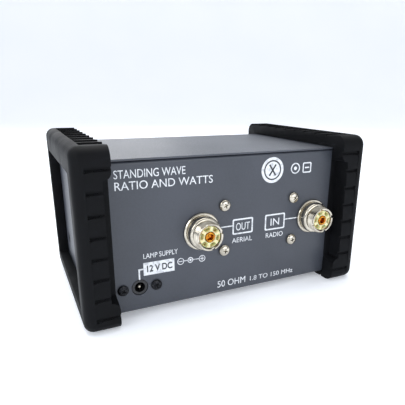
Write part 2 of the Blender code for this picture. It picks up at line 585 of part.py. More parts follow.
def movement(label, side, needle_y):
    """One moving-coil movement. side is +1 for the pivot right of centre; its needle points the
    other way. Everything that turns has its origin on the pivot."""
    pivot = Vector((METER_X + side * PIVOT_OFFSET, 0, PIVOT_Z))

    def flipped(shape):
        """Mirrors a shape drawn for the right pivot, in place about its own pivot."""
        if side < 0:
            bmesh.ops.scale(shape, vec=(-1, 1, 1), verts=shape.verts, space=Matrix.Translation(-pivot))
        return shape

    def turned_about_pivot(shape, degrees):
        """Turns a shape about the pivot's +Y line, from +X towards +Z."""
        bmesh.ops.rotate(shape, cent=pivot, verts=shape.verts,
                         matrix=Matrix.Rotation(-math.radians(degrees), 3, "Y"))
        return shape

    middle = 180 - NEEDLE_REST - NEEDLE_SWEEP / 2
    shape = bmesh.new()
    turned(shape, [(6.4, -36.4), (7.7, -36.4), (7.7, -28.6), (6.4, -28.6)], pivot, segments=24)
    magnet = make_object(f"{label}_magnet", shape, "magnet_steel", smooth=35)
    web = bmesh.new()
    box(web, pivot + Vector((-7, -34.5, -1)), pivot + Vector((7, -30.5, 1)))
    boolean(magnet, flipped(turned_about_pivot(web, middle)), "UNION")
    boolean(magnet, cylinders((pivot + Vector((0, -32.5, 0)), 3.75, 7.8), segments=20), "UNION")

    bridge = make_object(f"{label}_bridge", boxes(
        (pivot + Vector((-2.5, -39.9, -2.2)), pivot + Vector((2.5, -25.2, 9.8)))), "brass")
    boolean(bridge, boxes((pivot + Vector((-5, -39.1, -5)), pivot + Vector((5, -26.0, 8.6)))))
    boolean(bridge, cylinders((pivot + Vector((0, -32, 0)), 0.9, 20), segments=12))

    coil_rest = middle + 90 + NEEDLE_SWEEP / 2
    shape = boxes((pivot + Vector((-5.6, -37.7, -0.6)), pivot + Vector((5.6, -27.3, 0.6))))
    coil = make_object(f"{label}_coil", flipped(turned_about_pivot(shape, coil_rest)),
                       "copper", origin=pivot + Vector((0, -32.5, 0)))
    window = boxes((pivot + Vector((-4.6, -36.9, -2)), pivot + Vector((4.6, -28.1, 2))))
    boolean(coil, flipped(turned_about_pivot(window, coil_rest)))
    boolean(coil, cylinders((pivot + Vector((0, (needle_y - 0.5 - 37.3) / 2, 0)), 0.6,
                             -37.3 - (needle_y - 0.5)), segments=10), "UNION")
    boolean(coil, cylinders((pivot + Vector((0, -26.3, 0)), 0.6, 2.6), segments=10), "UNION")

    shape = bmesh.new()
    thick = 0.2
    outline = [(2.0, -0.55), (NEEDLE_LENGTH, -0.2), (NEEDLE_LENGTH, 0.2), (2.0, 0.55)]
    prism(shape, [(pivot.x + u, pivot.z + v) for u, v in outline], "Y", needle_y - thick, needle_y + thick)
    needle = make_object(f"{label}_needle", flipped(turned_about_pivot(shape, 180 - NEEDLE_REST)),
                         "needle_paint", origin=pivot + Vector((0, needle_y, 0)))
    boolean(needle, cylinders((pivot + Vector((0, needle_y, 0)), 2.3, 0.7), segments=18), "UNION")
    tail = boxes((pivot + Vector((-7.0, needle_y - 0.3, -1.0)), pivot + Vector((-1.5, needle_y + 0.3, 1.0))))
    boolean(needle, flipped(turned_about_pivot(tail, 180 - NEEDLE_REST)), "UNION")
    boolean(needle, cylinders((pivot + Vector((0, needle_y, 0)), 0.9, 3), segments=10))

    shape = bmesh.new()
    hairspring(shape, pivot)
    make_object(f"{label}_hairspring", flipped(shape), "brass")

    shape = bmesh.new()
    adjuster = Vector((pivot.x, 0, 20.5))
    turned(shape, [(0, -51.2), (1.9, -51.2), (2.2, -50.9), (2.2, -47.0), (0, -47.0)], adjuster,
           segments=18, closed=False)
    screw_head = make_object(f"{label}_zero_adjuster", shape, "black_plastic", origin=adjuster + Vector((0, -49, 0)),
                             smooth=35)
    boolean(screw_head, boxes((adjuster + Vector((-3, -53, -0.35)), adjuster + Vector((3, -50.5, 0.35)))))


def hairspring(shape, pivot):
    """Flat spiral ribbon between the coil and the front bridge."""
    turns, steps, thick, wide = 2.5, 14, 0.16, 0.3
    count = int(turns * steps)
    rings = []
    for i in range(count + 1):
        angle, radius = 2 * math.pi * i / steps, 1.0 + 1.1 * i / steps
        ring = [(radius - thick / 2, -wide / 2), (radius + thick / 2, -wide / 2),
                (radius + thick / 2, wide / 2), (radius - thick / 2, wide / 2)]
        rings.append([shape.verts.new((pivot.x + r * math.cos(angle), -38.4 + y, pivot.z + r * math.sin(angle)))
                      for r, y in ring])
    for near, far in zip(rings, rings[1:]):
        for k in range(4):
            shape.faces.new((near[k], near[(k + 1) % 4], far[(k + 1) % 4], far[k]))
    shape.faces.new(rings[0])
    shape.faces.new(reversed(rings[-1]))


# ---------------------------------------------------------------- controls

def range_control():
    """Rotary switch, its nut, its shaft and the knob that turns on it."""
    centre = (CONTROL_X, 0, KNOB_Z)
    bushing_front = -50.4
    switch = make_object("range_switch", boxes(
        ((CONTROL_X - 11, -42.4, KNOB_Z - 11), (CONTROL_X + 11, -29, KNOB_Z + 11))), "black_plastic")
    boolean(switch, cylinders(((CONTROL_X, (bushing_front - 40) / 2, KNOB_Z), 4.5, -40 - bushing_front),
                              segments=20), "UNION")
    boolean(switch, cylinders(((CONTROL_X, -44, KNOB_Z), 3.3, 20), segments=20))
    shape = bmesh.new()
    nut_front, nut_back = -49.2, -PANEL_Y - GAP
    cylinder(shape, (CONTROL_X, (nut_front + nut_back) / 2, KNOB_Z), 6.6, nut_back - nut_front, segments=6)
    boolean(make_object("range_nut", shape, "nickel"),
            cylinders(((CONTROL_X, -48, KNOB_Z), 4.8, 6), segments=20))
    shape = bmesh.new()
    cylinder(shape, (CONTROL_X, -46, KNOB_Z), 3.0, 18, segments=20)
    make_object("range_shaft", shape, "nickel", origin=(CONTROL_X, -46, KNOB_Z), smooth=40)
    back, face = -49.8, -REACH
    shape = bmesh.new()
    turned(shape, [(0, face), (KNOB_RADIUS - 2.6, face), (KNOB_RADIUS - 1.6, face + 0.8),
                   (KNOB_RADIUS - 1.0, back - 1.6), (KNOB_RADIUS, back - 1.2), (KNOB_RADIUS, back),
                   (8.0, back), (8.0, back - 2.0), (3.35, back - 2.0), (3.35, -56.0), (0, -56.0)],
           centre, segments=40, closed=False)
    knob = make_object("range_knob", shape, "black_plastic", origin=(CONTROL_X, -54, KNOB_Z), smooth=35)
    pointer = boxes(((CONTROL_X - 0.6, face - 1, KNOB_Z + 3), (CONTROL_X + 0.6, face + 0.6, KNOB_Z + 15)))
    boolean(knob, rotated_about(pointer, centre, 30))


def rotated_about(shape, centre, degrees):
    """Turns a shape about the Y line through the centre, clockwise from +Z to -X for the front view."""
    bmesh.ops.rotate(shape, cent=centre, verts=shape.verts,
                     matrix=Matrix.Rotation(-math.radians(degrees), 3, "Y"))
    return shape


def push_control(label, z):
    """Latching push switch and the square cap that slides into the panel."""
    body = make_object(f"{label}_switch", boxes(
        ((CONTROL_X - 5.5, -40.6, z - 5.5), (CONTROL_X + 5.5, -29, z + 5.5))), "black_plastic")
    boolean(body, boxes(((CONTROL_X - 2.4, -50, z - 2.4), (CONTROL_X + 2.4, -33, z + 2.4))))
    half = BUTTON_SIZE / 2
    shape = bmesh.new()
    rounded_box(shape, (CONTROL_X - half, -52.5, z - half), (CONTROL_X + half, -44.4, z + half), 0.6, 2)
    cap = make_object(f"{label}_button", shape, "black_plastic", origin=(CONTROL_X, -48, z), smooth=40)
    boolean(cap, boxes(((CONTROL_X - 2.0, -46, z - 2.0), (CONTROL_X + 2.0, -37, z + 2.0))), "UNION")


def inner_wiring():
    """Board behind the controls, the signal lead from the coupler and the lamp lead from the jack."""
    make_object("control_board", boxes(((CONTROL_X - 16, -28.7, 11), (CONTROL_X + 16, -27.1, 74))),
                "circuit_board")
    wire("signal_lead", [(27, 30, 33), (34, 30, 33), (40, 22, 32), (46, 4, 31), (50, -12, 32), (52, -22, 34),
                         (52, -26.7, 34)], 0.9, "wire_sleeve")
    wire("lamp_lead", [(56.2, 31.2, 17.3), (56.2, 24, 17.3), (50, 12, 14), (40, -2, 14), (34, -12, 22),
                       (20, -17, 36), (8, -18.5, 40), (-4, -19.2, 42)], 0.9, "wire_sleeve")


def main():
    clear_scene()
    chassis_tray()
    top_cover()
    front_panel()
    side_frame("side_frame_right", 1)
    side_frame("side_frame_left", -1)
    all_screws()
    uhf_socket("output", OUTPUT_X)
    uhf_socket("input", INPUT_X)
    coupler()
    power_jack()
    meter_body()
    movement("forward", 1, -44.8)
    movement("reflected", -1, -43.2)
    range_control()
    push_control("mode", MODE_Z)
    push_control("lamp", LAMP_Z)
    inner_wiring()


main()
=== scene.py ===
# %% [markdown]
# # A bench SWR and power meter, dressed for its portrait
#
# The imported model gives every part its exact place. This script adds what a maker would call
# the finish: rounded mouldings, threads, print, dial scales, and a material for every surface.
# Lengths are written in millimetres, because that is how such a meter is drawn.

import json
import math

import bmesh
import bpy
from mathutils import Matrix, Vector


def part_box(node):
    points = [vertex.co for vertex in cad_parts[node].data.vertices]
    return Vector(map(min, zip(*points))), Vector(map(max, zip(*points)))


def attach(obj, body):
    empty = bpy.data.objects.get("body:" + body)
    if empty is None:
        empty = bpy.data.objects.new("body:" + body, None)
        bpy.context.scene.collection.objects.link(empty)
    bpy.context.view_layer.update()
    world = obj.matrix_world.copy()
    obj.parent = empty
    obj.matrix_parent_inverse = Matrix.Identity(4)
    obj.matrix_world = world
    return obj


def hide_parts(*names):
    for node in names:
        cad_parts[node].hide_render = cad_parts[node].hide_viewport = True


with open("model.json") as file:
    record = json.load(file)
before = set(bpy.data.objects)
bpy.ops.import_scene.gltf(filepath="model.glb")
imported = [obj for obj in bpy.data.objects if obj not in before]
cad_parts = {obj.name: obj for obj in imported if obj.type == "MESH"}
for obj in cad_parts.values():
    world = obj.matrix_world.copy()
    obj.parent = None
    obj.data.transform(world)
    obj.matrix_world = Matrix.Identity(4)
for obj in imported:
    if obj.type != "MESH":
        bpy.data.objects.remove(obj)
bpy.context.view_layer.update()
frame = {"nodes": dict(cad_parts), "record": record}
nodes = frame["nodes"]
MM = 0.001


def middle(node):
    """The centre of a CAD node's box, in millimetres."""
    low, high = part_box(node)
    return (Vector(low) + Vector(high)) / 2 / MM


def corners(node):
    """A CAD node's lowest and highest corners, in millimetres."""
    low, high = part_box(node)
    return Vector(low) / MM, Vector(high) / MM


HALF_WIDTH, HALF_DEPTH, HEIGHT = corners("side_frame_right")[1]
print("meter over its frames:", 2 * HALF_WIDTH, 2 * HALF_DEPTH, HEIGHT)

# %% [markdown]
# The camera stands behind the meter, a little to its right and above it, as someone would look
# at the sockets before plugging a feeder in. A camera can be turned by three angles, but then
# their order matters, so its matrix is built from the three directions it needs: right, up and
# back. A small shift of the lens places the meter a little left of centre without turning it.

# %% Camera
EYE = Vector((109.73, 251.94, 118.40))
YAW, PITCH, ROLL = math.radians(27.07), math.radians(17.56), math.radians(0.80)
forward = Vector((-math.sin(YAW) * math.cos(PITCH), -math.cos(YAW) * math.cos(PITCH), -math.sin(PITCH)))
level = forward.cross(Vector((0, 0, 1))).normalized()
upright = level.cross(forward)
right = math.cos(ROLL) * level + math.sin(ROLL) * upright
up = math.cos(ROLL) * upright - math.sin(ROLL) * level

lens = bpy.data.cameras.new("camera")
lens.sensor_width = 36
lens.lens = 37.28
lens.shift_x, lens.shift_y = -0.0551, 0.0577
lens.clip_start = 0.005
camera = bpy.data.objects.new("camera", lens)
camera.matrix_world = Matrix.Translation(EYE * MM) @ Matrix((right, up, -forward)).transposed().to_4x4()
bpy.context.scene.collection.objects.link(camera)
bpy.context.scene.camera = camera

# %% [markdown]
# The meter stands in a light tent: a pale tabletop that curves up into pale walls, with soft
# lamps overhead. Satin paint and nickel plate look like whatever they mirror, so the tent matters
# as much as the lamps. A flat plane would end in a hard horizon, so the tent is modelled as one
# bowl: a disc whose rim is extruded outwards and upwards along a curve.

# %% Small helpers for working by hand
def linear(hexcode, alpha=1.0):
    """An sRGB hex colour as the linear values that a shader takes."""
    values = [int(hexcode[i:i + 2], 16) / 255 for i in (1, 3, 5)]
    return (*[v / 12.92 if v <= 0.04045 else ((v + 0.055) / 1.055) ** 2.4 for v in values], alpha)


def only(*chosen):
    """Selects these objects and nothing else. The last one is the active one."""
    bpy.ops.object.select_all(action="DESELECT")
    for item in chosen:
        item.select_set(True)
    bpy.context.view_layer.objects.active = chosen[-1]


def placed(piece, name):
    """Moves a piece's place, turn and scale into its mesh and names it."""
    only(piece)
    bpy.ops.object.transform_apply(location=True, rotation=True, scale=True)
    piece.name = piece.data.name = name
    return piece


def choose(piece, kind, test):
    """In edit mode, selects the vertices, edges or faces that pass the test, and nothing else."""
    bpy.ops.mesh.select_mode(type=kind)
    bpy.ops.mesh.select_all(action="DESELECT")
    shape = bmesh.from_edit_mesh(piece.data)
    for item in {"VERT": shape.verts, "EDGE": shape.edges, "FACE": shape.faces}[kind]:
        if test(item):
            item.select_set(True)
    bmesh.update_edit_mesh(piece.data)


# %% [markdown]
# Every finish is a Principled shader fed by patterns in Object coordinates, which are metres, so
# a noise of scale 1000 has features about a millimetre across. One function makes the shader and
# one adds a node with its settings and links. Numbers that are the same all over stay on the
# shader's own sockets.

# %% Two functions for all the materials
def add(tree, kind, links=None, **settings):
    """Adds a node. Settings are its properties; links are its inputs, joined or set."""
    node = tree.nodes.new(kind)
    for key, value in settings.items():
        setattr(node, key, value)
    for key, value in (links or {}).items():
        if isinstance(value, bpy.types.NodeSocket):
            tree.links.new(value, node.inputs[key])
        else:
            node.inputs[key].default_value = value
    return node


def finish(name, hexcode, **sockets):
    """Starts a material: its colour and the shader's own sockets. Returns it, its tree, its shader
    and the Object coordinates that its patterns read."""
    made = bpy.data.materials.new(name)
    made.use_nodes = True
    tree = made.node_tree
    shader = tree.nodes["Principled BSDF"]
    shader.inputs["Base Color"].default_value = linear(hexcode)
    made.diffuse_color = linear(hexcode)
    for key, value in sockets.items():
        shader.inputs[key.replace("_", " ")].default_value = value
    place = add(tree, "ShaderNodeTexCoord").outputs["Object"]
    return made, tree, shader, place


def shades(tree, value, low, high, start=0.3, end=0.7):
    """Turns a pattern's grey into a colour between two sRGB hex colours."""
    ramp = add(tree, "ShaderNodeValToRGB", {"Fac": value})
    ramp.color_ramp.elements[0].position, ramp.color_ramp.elements[0].color = start, linear(low)
    ramp.color_ramp.elements[1].position, ramp.color_ramp.elements[1].color = end, linear(high)
    return ramp.outputs["Color"]


def spread(tree, value, low, high, start=0.3, end=0.7):
    """Stretches a pattern's grey between two numbers, such as a roughness."""
    return add(tree, "ShaderNodeMapRange", {"Value": value, "From Min": start, "From Max": end,
                                            "To Min": low, "To Max": high}).outputs["Result"]


def relief(tree, shader, height, depth_mm, strength=1.0):
    """Raises the surface by a pattern's grey, as far as a depth in millimetres."""
    bump = add(tree, "ShaderNodeBump", {"Height": height, "Distance": depth_mm * MM, "Strength": strength})
    tree.links.new(bump.outputs["Normal"], shader.inputs["Normal"])


# %% The tent
TENT_FLOOR, TENT_CURVE, TENT_STEPS = 1.5, 1.2, 12
bpy.ops.mesh.primitive_circle_add(vertices=64, radius=TENT_FLOOR, fill_type="NGON")
tent = bpy.context.object
tent.name = "tabletop"
bpy.ops.object.mode_set(mode="EDIT")
bpy.ops.mesh.select_mode(type="EDGE")
for step in range(TENT_STEPS):
    near, far = [math.radians(90 * (step + i) / TENT_STEPS) for i in (0, 1)]
    reach = [TENT_FLOOR + TENT_CURVE * math.sin(a) for a in (near, far)]
    rise = TENT_CURVE * (math.cos(near) - math.cos(far))
    choose(tent, "EDGE", lambda edge: edge.is_boundary)
    bpy.ops.mesh.extrude_edges_move(TRANSFORM_OT_translate={"value": (0, 0, rise)})
    bpy.ops.transform.resize(value=(reach[1] / reach[0], reach[1] / reach[0], 1), center_override=(0, 0, 0))
bpy.ops.object.mode_set(mode="OBJECT")
bpy.ops.object.shade_smooth()
cloth, tree, shader, place = finish("tent_cloth", "#F7F9FC", Roughness=0.9, Emission_Strength=0.26)
folds = add(tree, "ShaderNodeTexNoise", {"Vector": place, "Scale": 3})
glow = shades(tree, folds.outputs["Fac"], "#EDF1F8", "#F7F9FC", 0, 1)
for socket in ("Base Color", "Emission Color"):
    tree.links.new(glow, shader.inputs[socket])
tent.data.materials.append(cloth)


def lamp(name, place, aim, size, power, colour="#FFFFFF"):
    """A soft rectangular lamp at a place, turned to face a point, both in millimetres."""
    data = bpy.data.lights.new(name, "AREA")
    data.shape = "RECTANGLE"
    data.size, data.size_y = size[0] * MM, size[1] * MM
    data.energy = power
    data.color = linear(colour)[:3]
    made = bpy.data.objects.new(name, data)
    made.location = Vector(place) * MM
    made.rotation_euler = (Vector(aim) - Vector(place)).to_track_quat("-Z", "Y").to_euler()
    bpy.context.scene.collection.objects.link(made)
    return made


lamp("tent_roof", (0, -250, 900), (0, 0, 0), (1300, 900), 9.5)
lamp("tent_front", (50, -1100, 480), (0, 0, 90), (900, 420), 2.0)
lamp("tent_left", (750, 500, 500), (0, 0, 40), (500, 500), 2.8)
lamp("tent_rear", (-250, 900, 350), (0, 0, 40), (700, 400), 1.6)

# %% [markdown]
# Bright plating in an all-white tent looks like chalk. A product studio hangs black cards just out
# of the picture, so that the metal has something dark to mirror. These three show only in
# reflections: they hide nothing and cast no shadow.

# %% Black cards
black_card = finish("black_card", "#1A1A1C", Roughness=0.9)[0]
for name, place, size in (("card_above", (250, 900, 650), (900, 260)),
                          ("card_right", (-800, 500, 150), (260, 500)),
                          ("card_left", (760, 620, 220), (160, 500))):
    bpy.ops.mesh.primitive_plane_add(size=1)
    card = bpy.context.object
    card.scale = (size[0] * MM, size[1] * MM, 1)
    card.location = Vector(place) * MM
    card.rotation_euler = (-Vector(place)).to_track_quat("Z", "Y").to_euler()
    placed(card, name)
    card.data.materials.append(black_card)
    card.visible_camera = card.visible_diffuse = card.visible_shadow = card.visible_transmission = False

world = bpy.data.worlds.new("light_tent")
bpy.context.scene.world = world
world.use_nodes = True
world.node_tree.nodes["Background"].inputs["Color"].default_value = linear("#F1F4F8")
world.node_tree.nodes["Background"].inputs["Strength"].default_value = 0.68
bpy.context.scene.view_settings.view_transform = "Standard"

# %% [markdown]
# The panels are steel sheet with baked satin paint. The sprayed film leaves a faint orange peel,
# about a millimetre across, and the top cover has a second, coarser coat spattered on, which is
# why it looks grainier than the smooth rear panel. The cover's colours are also set lighter than
# the panel's, though both are the same enamel: that is painted light, the sheen of a lit top face.
# Both get slow changes of shade, so that no large face is one flat colour.

# %% Baked paint
def painted(name, dark, light, peel_mm, peel_depth, roughness):
    made, tree, shader, place = finish(name, light, Specular_IOR_Level=0.5)
    clouds = add(tree, "ShaderNodeTexNoise", {"Vector": place, "Scale": 1 / (40 * MM), "Detail": 2})
    peel = add(tree, "ShaderNodeTexNoise", {"Vector": place, "Scale": 1 / (peel_mm * MM), "Detail": 2.5})
    fleck = add(tree, "ShaderNodeMix", {"Factor": 0.35, "A": clouds.outputs["Fac"],
                                        "B": peel.outputs["Fac"]}, data_type="FLOAT")
    tree.links.new(shades(tree, fleck.outputs["Result"], dark, light, 0.36, 0.64),
                   shader.inputs["Base Color"])
    tree.links.new(spread(tree, peel.outputs["Fac"], *roughness), shader.inputs["Roughness"])
    relief(tree, shader, peel.outputs["Fac"], peel_depth)
    return made


panel_paint = painted("satin_baked_enamel", "#363A42", "#3F434C", 1.1, 0.012, (0.34, 0.46))
# The cover's lighter colours are painted light: the panel's enamel, lightened for its lit top face.
cover_paint = painted("spatter_coat_enamel_painted_lighter", "#383C44", "#4B4F58", 0.8, 0.035, (0.36, 0.50))

# %% [markdown]
# The end frames are injection-moulded thermoplastic rubber. The mould was spark-eroded, which
# gives the surface a matt grain of about half a millimetre, and handling polishes it unevenly.

# %% Moulded rubber
frame_rubber, tree, shader, place = finish(
    "moulded_tpe_rubber", "#131417", IOR=1.5, Specular_IOR_Level=0.10)
grain = add(tree, "ShaderNodeTexVoronoi", {"Vector": place, "Scale": 1 / (0.55 * MM)})
rubbed = add(tree, "ShaderNodeTexNoise", {"Vector": place, "Scale": 1 / (14 * MM), "Detail": 4})
tree.links.new(shades(tree, rubbed.outputs["Fac"], "#090A0C", "#0F1013"), shader.inputs["Base Color"])
tree.links.new(spread(tree, rubbed.outputs["Fac"], 0.50, 0.66), shader.inputs["Roughness"])
relief(tree, shader, grain.outputs["Distance"], 0.05, 0.6)

# %% [markdown]
# The sockets and their screws are brass turned on a lathe and plated with bright nickel, which is
# a warmer white than chrome. The tool leaves rings about the axis. They can't be drawn as fine as
# they are, so they are spaced at a quarter of a millimetre. Each turned part has its own centre,
# so the function takes it.

# %% Bright nickel
def nickel(name, centre=(0, 0, 0), ring_mm=0.25, colour=("#A39D90", "#DCD5C6"), rough=(0.10, 0.24)):
    made, tree, shader, place = finish(name, colour[1], Metallic=1.0)
    centred = add(tree, "ShaderNodeMapping", {"Vector": place, "Location": -Vector(centre) * MM})
    rings = add(tree, "ShaderNodeTexWave", {"Vector": centred.outputs["Vector"],
                                            "Scale": 1 / (ring_mm * MM) / 20, "Distortion": 0.4},
                wave_type="RINGS", rings_direction="Y", wave_profile="SAW")
    stain = add(tree, "ShaderNodeTexNoise", {"Vector": place, "Scale": 1 / (5 * MM), "Detail": 5})
    tree.links.new(shades(tree, stain.outputs["Fac"], *colour), shader.inputs["Base Color"])
    tree.links.new(spread(tree, stain.outputs["Fac"], *rough), shader.inputs["Roughness"])
    relief(tree, shader, rings.outputs["Fac"], 0.004, 0.5)
    return made


plate = nickel("bright_nickel_plate")

# %% [markdown]
# The socket's centre contact is gold over nickel. The insulator round it is a thermoset moulding,
# pale yellow-green and a little translucent, with mould flow showing as faint clouds.

# %% Gold and the socket insulator
gold, tree, shader, place = finish("gold_flash", "#D08A2C", Metallic=1.0)
wear = add(tree, "ShaderNodeTexNoise", {"Vector": place, "Scale": 1 / (1.2 * MM), "Detail": 4})
tree.links.new(shades(tree, wear.outputs["Fac"], "#B8681A", "#E0A03C"), shader.inputs["Base Color"])
tree.links.new(spread(tree, wear.outputs["Fac"], 0.18, 0.38), shader.inputs["Roughness"])

insulator_resin, tree, shader, place = finish(
    "moulded_thermoset", "#DDD6A0", IOR=1.55, Subsurface_Weight=0.25, Subsurface_Scale=0.0015,
    Roughness=0.32)
flow = add(tree, "ShaderNodeTexNoise", {"Vector": place, "Scale": 1 / (3 * MM), "Detail": 3,
                                        "Distortion": 1.5})
tree.links.new(shades(tree, flow.outputs["Fac"], "#CDC78C", "#E6E0B4"), shader.inputs["Base Color"])
relief(tree, shader, flow.outputs["Fac"], 0.03, 0.4)

# %% [markdown]
# The bezel, knob, buttons and jack are ABS, moulded black. A polished mould gives the knob and
# bezel a soft gloss with a faint ripple, and fingers leave duller patches. The small black screws
# are steel with an oiled oxide skin, which shows brown-grey where the driver has slipped.

# %% Black ABS and black oxide
def black_abs(name, low, high, ripple_mm, rough):
    made, tree, shader, place = finish(name, low, IOR=1.54)
    ripple = add(tree, "ShaderNodeTexNoise", {"Vector": place, "Scale": 1 / (ripple_mm * MM), "Detail": 3})
    touch = add(tree, "ShaderNodeTexNoise", {"Vector": place, "Scale": 1 / (9 * MM), "Detail": 4,
                                             "Distortion": 0.6})
    tree.links.new(shades(tree, touch.outputs["Fac"], low, high), shader.inputs["Base Color"])
    tree.links.new(spread(tree, touch.outputs["Fac"], *rough), shader.inputs["Roughness"])
    relief(tree, shader, ripple.outputs["Fac"], 0.01, 0.5)
    return made


bezel_abs = black_abs("bezel_abs", "#141518", "#1D1E22", 0.7, (0.34, 0.48))
knob_abs = black_abs("knob_abs", "#101114", "#1A1B1E", 1.5, (0.22, 0.36))

black_oxide, tree, shader, place = finish("black_oxide_steel", "#2A2B2F", Metallic=1.0)
slip = add(tree, "ShaderNodeTexNoise", {"Vector": place, "Scale": 1 / (0.9 * MM), "Detail": 5})
tree.links.new(shades(tree, slip.outputs["Fac"], "#1C1D20", "#4A4A4C", 0.45, 0.8),
               shader.inputs["Base Color"])
tree.links.new(spread(tree, slip.outputs["Fac"], 0.28, 0.5), shader.inputs["Roughness"])

# %% [markdown]
# Behind the window are the dial card, printed matt on aluminium, the clear acrylic lens, and the
# black and red inks. Clear acrylic bends light by 1.49 and is nearly mirror-smooth; the faint
# roughness comes from handling marks.

# %% Card, lens and inks
dial_card, tree, shader, place = finish("printed_dial_card", "#EFE9D2", Roughness=0.75)
fibre = add(tree, "ShaderNodeTexNoise", {"Vector": place, "Scale": 1 / (0.6 * MM), "Detail": 4})
aged = add(tree, "ShaderNodeTexNoise", {"Vector": place, "Scale": 1 / (30 * MM), "Detail": 2})
tree.links.new(shades(tree, aged.outputs["Fac"], "#D9D2B8", "#E6DFC8"), shader.inputs["Base Color"])
relief(tree, shader, fibre.outputs["Fac"], 0.01, 0.4)

lens_acrylic, tree, shader, place = finish("cast_acrylic", "#FFFFFF", IOR=1.49, Transmission_Weight=1.0)
smears = add(tree, "ShaderNodeTexNoise", {"Vector": place, "Scale": 1 / (18 * MM), "Detail": 5,
                                          "Distortion": 1.0})
tree.links.new(spread(tree, smears.outputs["Fac"], 0.0, 0.06, 0.45, 0.75), shader.inputs["Roughness"])


def ink(name, thin, full, rough=0.55):
    """Screen-printed ink. It lies unevenly, so its shade wanders over a couple of millimetres."""
    made, tree, shader, place = finish(name, full, Roughness=rough)
    cover = add(tree, "ShaderNodeTexNoise", {"Vector": place, "Scale": 1 / (1.6 * MM), "Detail": 4})
    tree.links.new(shades(tree, cover.outputs["Fac"], thin, full, 0.32, 0.5), shader.inputs["Base Color"])
    return made


white_ink = ink("white_screen_ink", "#B4B8BE", "#DEE1E5")
dark_ink = ink("dark_screen_ink", "#30343B", "#1E2126")
black_ink = ink("black_dial_ink", "#2A2A2C", "#101012")
red_ink = ink("red_dial_ink", "#B83028", "#C8201C")

# %% [markdown]
# Each end frame is one moulding: a rounded block, hollowed for the case, with a window through
# its outer wall, lugs that grip the case's corners, and a band of ribs all the way round. It could
# be grown from a plane by extruding, but a mould is a block with shapes taken out of it, so it is
# made that way here: a cube is beveled twice in edit mode, once round its corners and once round
# its outer rim, and Boolean modifiers cut the pocket, window and ribs. A last fine bevel gives
# every edge the small radius that moulded rubber has.

# %% Blocks and cuts
def block(name, low, high):
    """A cube between two corners, in millimetres, with its place in its mesh."""
    low, high = Vector(low) * MM, Vector(high) * MM
    bpy.ops.mesh.primitive_cube_add(size=1, location=(low + high) / 2, scale=high - low)
    return placed(bpy.context.object, name)


def round_edges(piece, test, radius_mm, segments):
    """Bevels the edges that pass the test."""
    only(piece)
    bpy.ops.object.mode_set(mode="EDIT")
    choose(piece, "EDGE", test)
    bpy.ops.mesh.bevel(offset=radius_mm * MM, segments=segments, profile=0.5, affect="EDGES")
    bpy.ops.object.mode_set(mode="OBJECT")


def cut(piece, *cutters, operation="DIFFERENCE"):
    """Takes the cutters out of the piece, or joins them on, and removes them."""
    for cutter in cutters:
        modifier = piece.modifiers.new("cut", "BOOLEAN")
        modifier.operation, modifier.object = operation, cutter
        only(piece)
        bpy.ops.object.modifier_apply(modifier=modifier.name)
        bpy.data.objects.remove(cutter)
    return piece


def soften(piece, radius_mm, segments=2, angle=30, smooth=40):
    """Gives every sharp edge a small radius, then shades the piece smooth up to an angle."""
    modifier = piece.modifiers.new("soft_edges", "BEVEL")
    modifier.width, modifier.segments = radius_mm * MM, segments
    modifier.limit_method, modifier.angle_limit = "ANGLE", math.radians(angle)
    modifier.harden_normals = False
    only(piece)
    bpy.ops.object.modifier_apply(modifier=modifier.name)
    bpy.ops.object.shade_smooth_by_angle(angle=math.radians(smooth))
    return piece


def joined(*parts):
    only(*parts)
    bpy.ops.object.join()
    return bpy.context.object


def copied(piece, name, move=(0, 0, 0), turn=0, axis="Y", about=(0, 0, 0), mirror=None):
    """A copy with its own mesh, moved in millimetres, turned in degrees about a point, or mirrored
    in X or Y."""
    only(piece)
    bpy.ops.object.duplicate()
    made = bpy.context.object
    about = Matrix.Translation(Vector(about) * MM)
    flip = Matrix.Diagonal((-1 if mirror == "X" else 1, -1 if mirror == "Y" else 1, 1, 1))
    made.matrix_world = (Matrix.Translation(Vector(move) * MM) @ about
                         @ Matrix.Rotation(math.radians(turn), 4, axis) @ about.inverted() @ flip)
    placed(made, name)
    if mirror:
        outwards(made)
    return made


def outwards(piece):
    """Points every face out of the solid."""
    only(piece)
    bpy.ops.object.mode_set(mode="EDIT")
    bpy.ops.mesh.select_all(action="SELECT")
    bpy.ops.mesh.normals_make_consistent(inside=False)
    bpy.ops.object.mode_set(mode="OBJECT")


def dressed(piece, body, material, *replaced, slot=None):
    """Gives a finished piece its material and its body, and hides the CAD nodes that it stands for."""
    piece.data.materials.clear()
    piece.data.materials.append(material)
    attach(piece, body)
    if replaced:
        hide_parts(*replaced)
    return piece


# %% The frame's block, pocket and window
LUG_X, UPRIGHT_X, CASE_SIDE_X, RIB_END_X = 69.4, 73.7, 81.7, 81.7
PANEL_Y = corners("chassis_tray")[1].y
LUG_TOP, LUG_ROUND = 15.9, 4.0
outer, deep, tall = HALF_WIDTH, HALF_DEPTH, HEIGHT
ribbed = block("end_frame", (LUG_X, -deep, 0), (outer, deep, tall))


def runs_along(edge, axis):
    span = edge.verts[0].co - edge.verts[1].co
    return abs(span[axis]) > 0.9 * span.length


def near(value, target_mm, reach=0.02):
    return abs(value / MM - target_mm) < reach


round_edges(ribbed, lambda edge: runs_along(edge, 0), 6.5, 8)
round_edges(ribbed, lambda edge: all(near(v.co.x, outer) for v in edge.verts), 5.0, 8)
window = block("window", (79, -46, 10.5), (95, 46, 81.8))
round_edges(window, lambda edge: runs_along(edge, 0), 1.2, 3)
pocket = block("pocket", (50, -PANEL_Y - 0.3, 3.3), (CASE_SIDE_X, PANEL_Y + 0.3, 87.4))
reliefs = [block("relief", (50, min(y, 3 * y), LUG_TOP), (UPRIGHT_X, max(y, 3 * y), tall - LUG_TOP))
           for y in (PANEL_Y + 0.6, -PANEL_Y - 0.6)]
cut(ribbed, pocket, window, *reliefs)


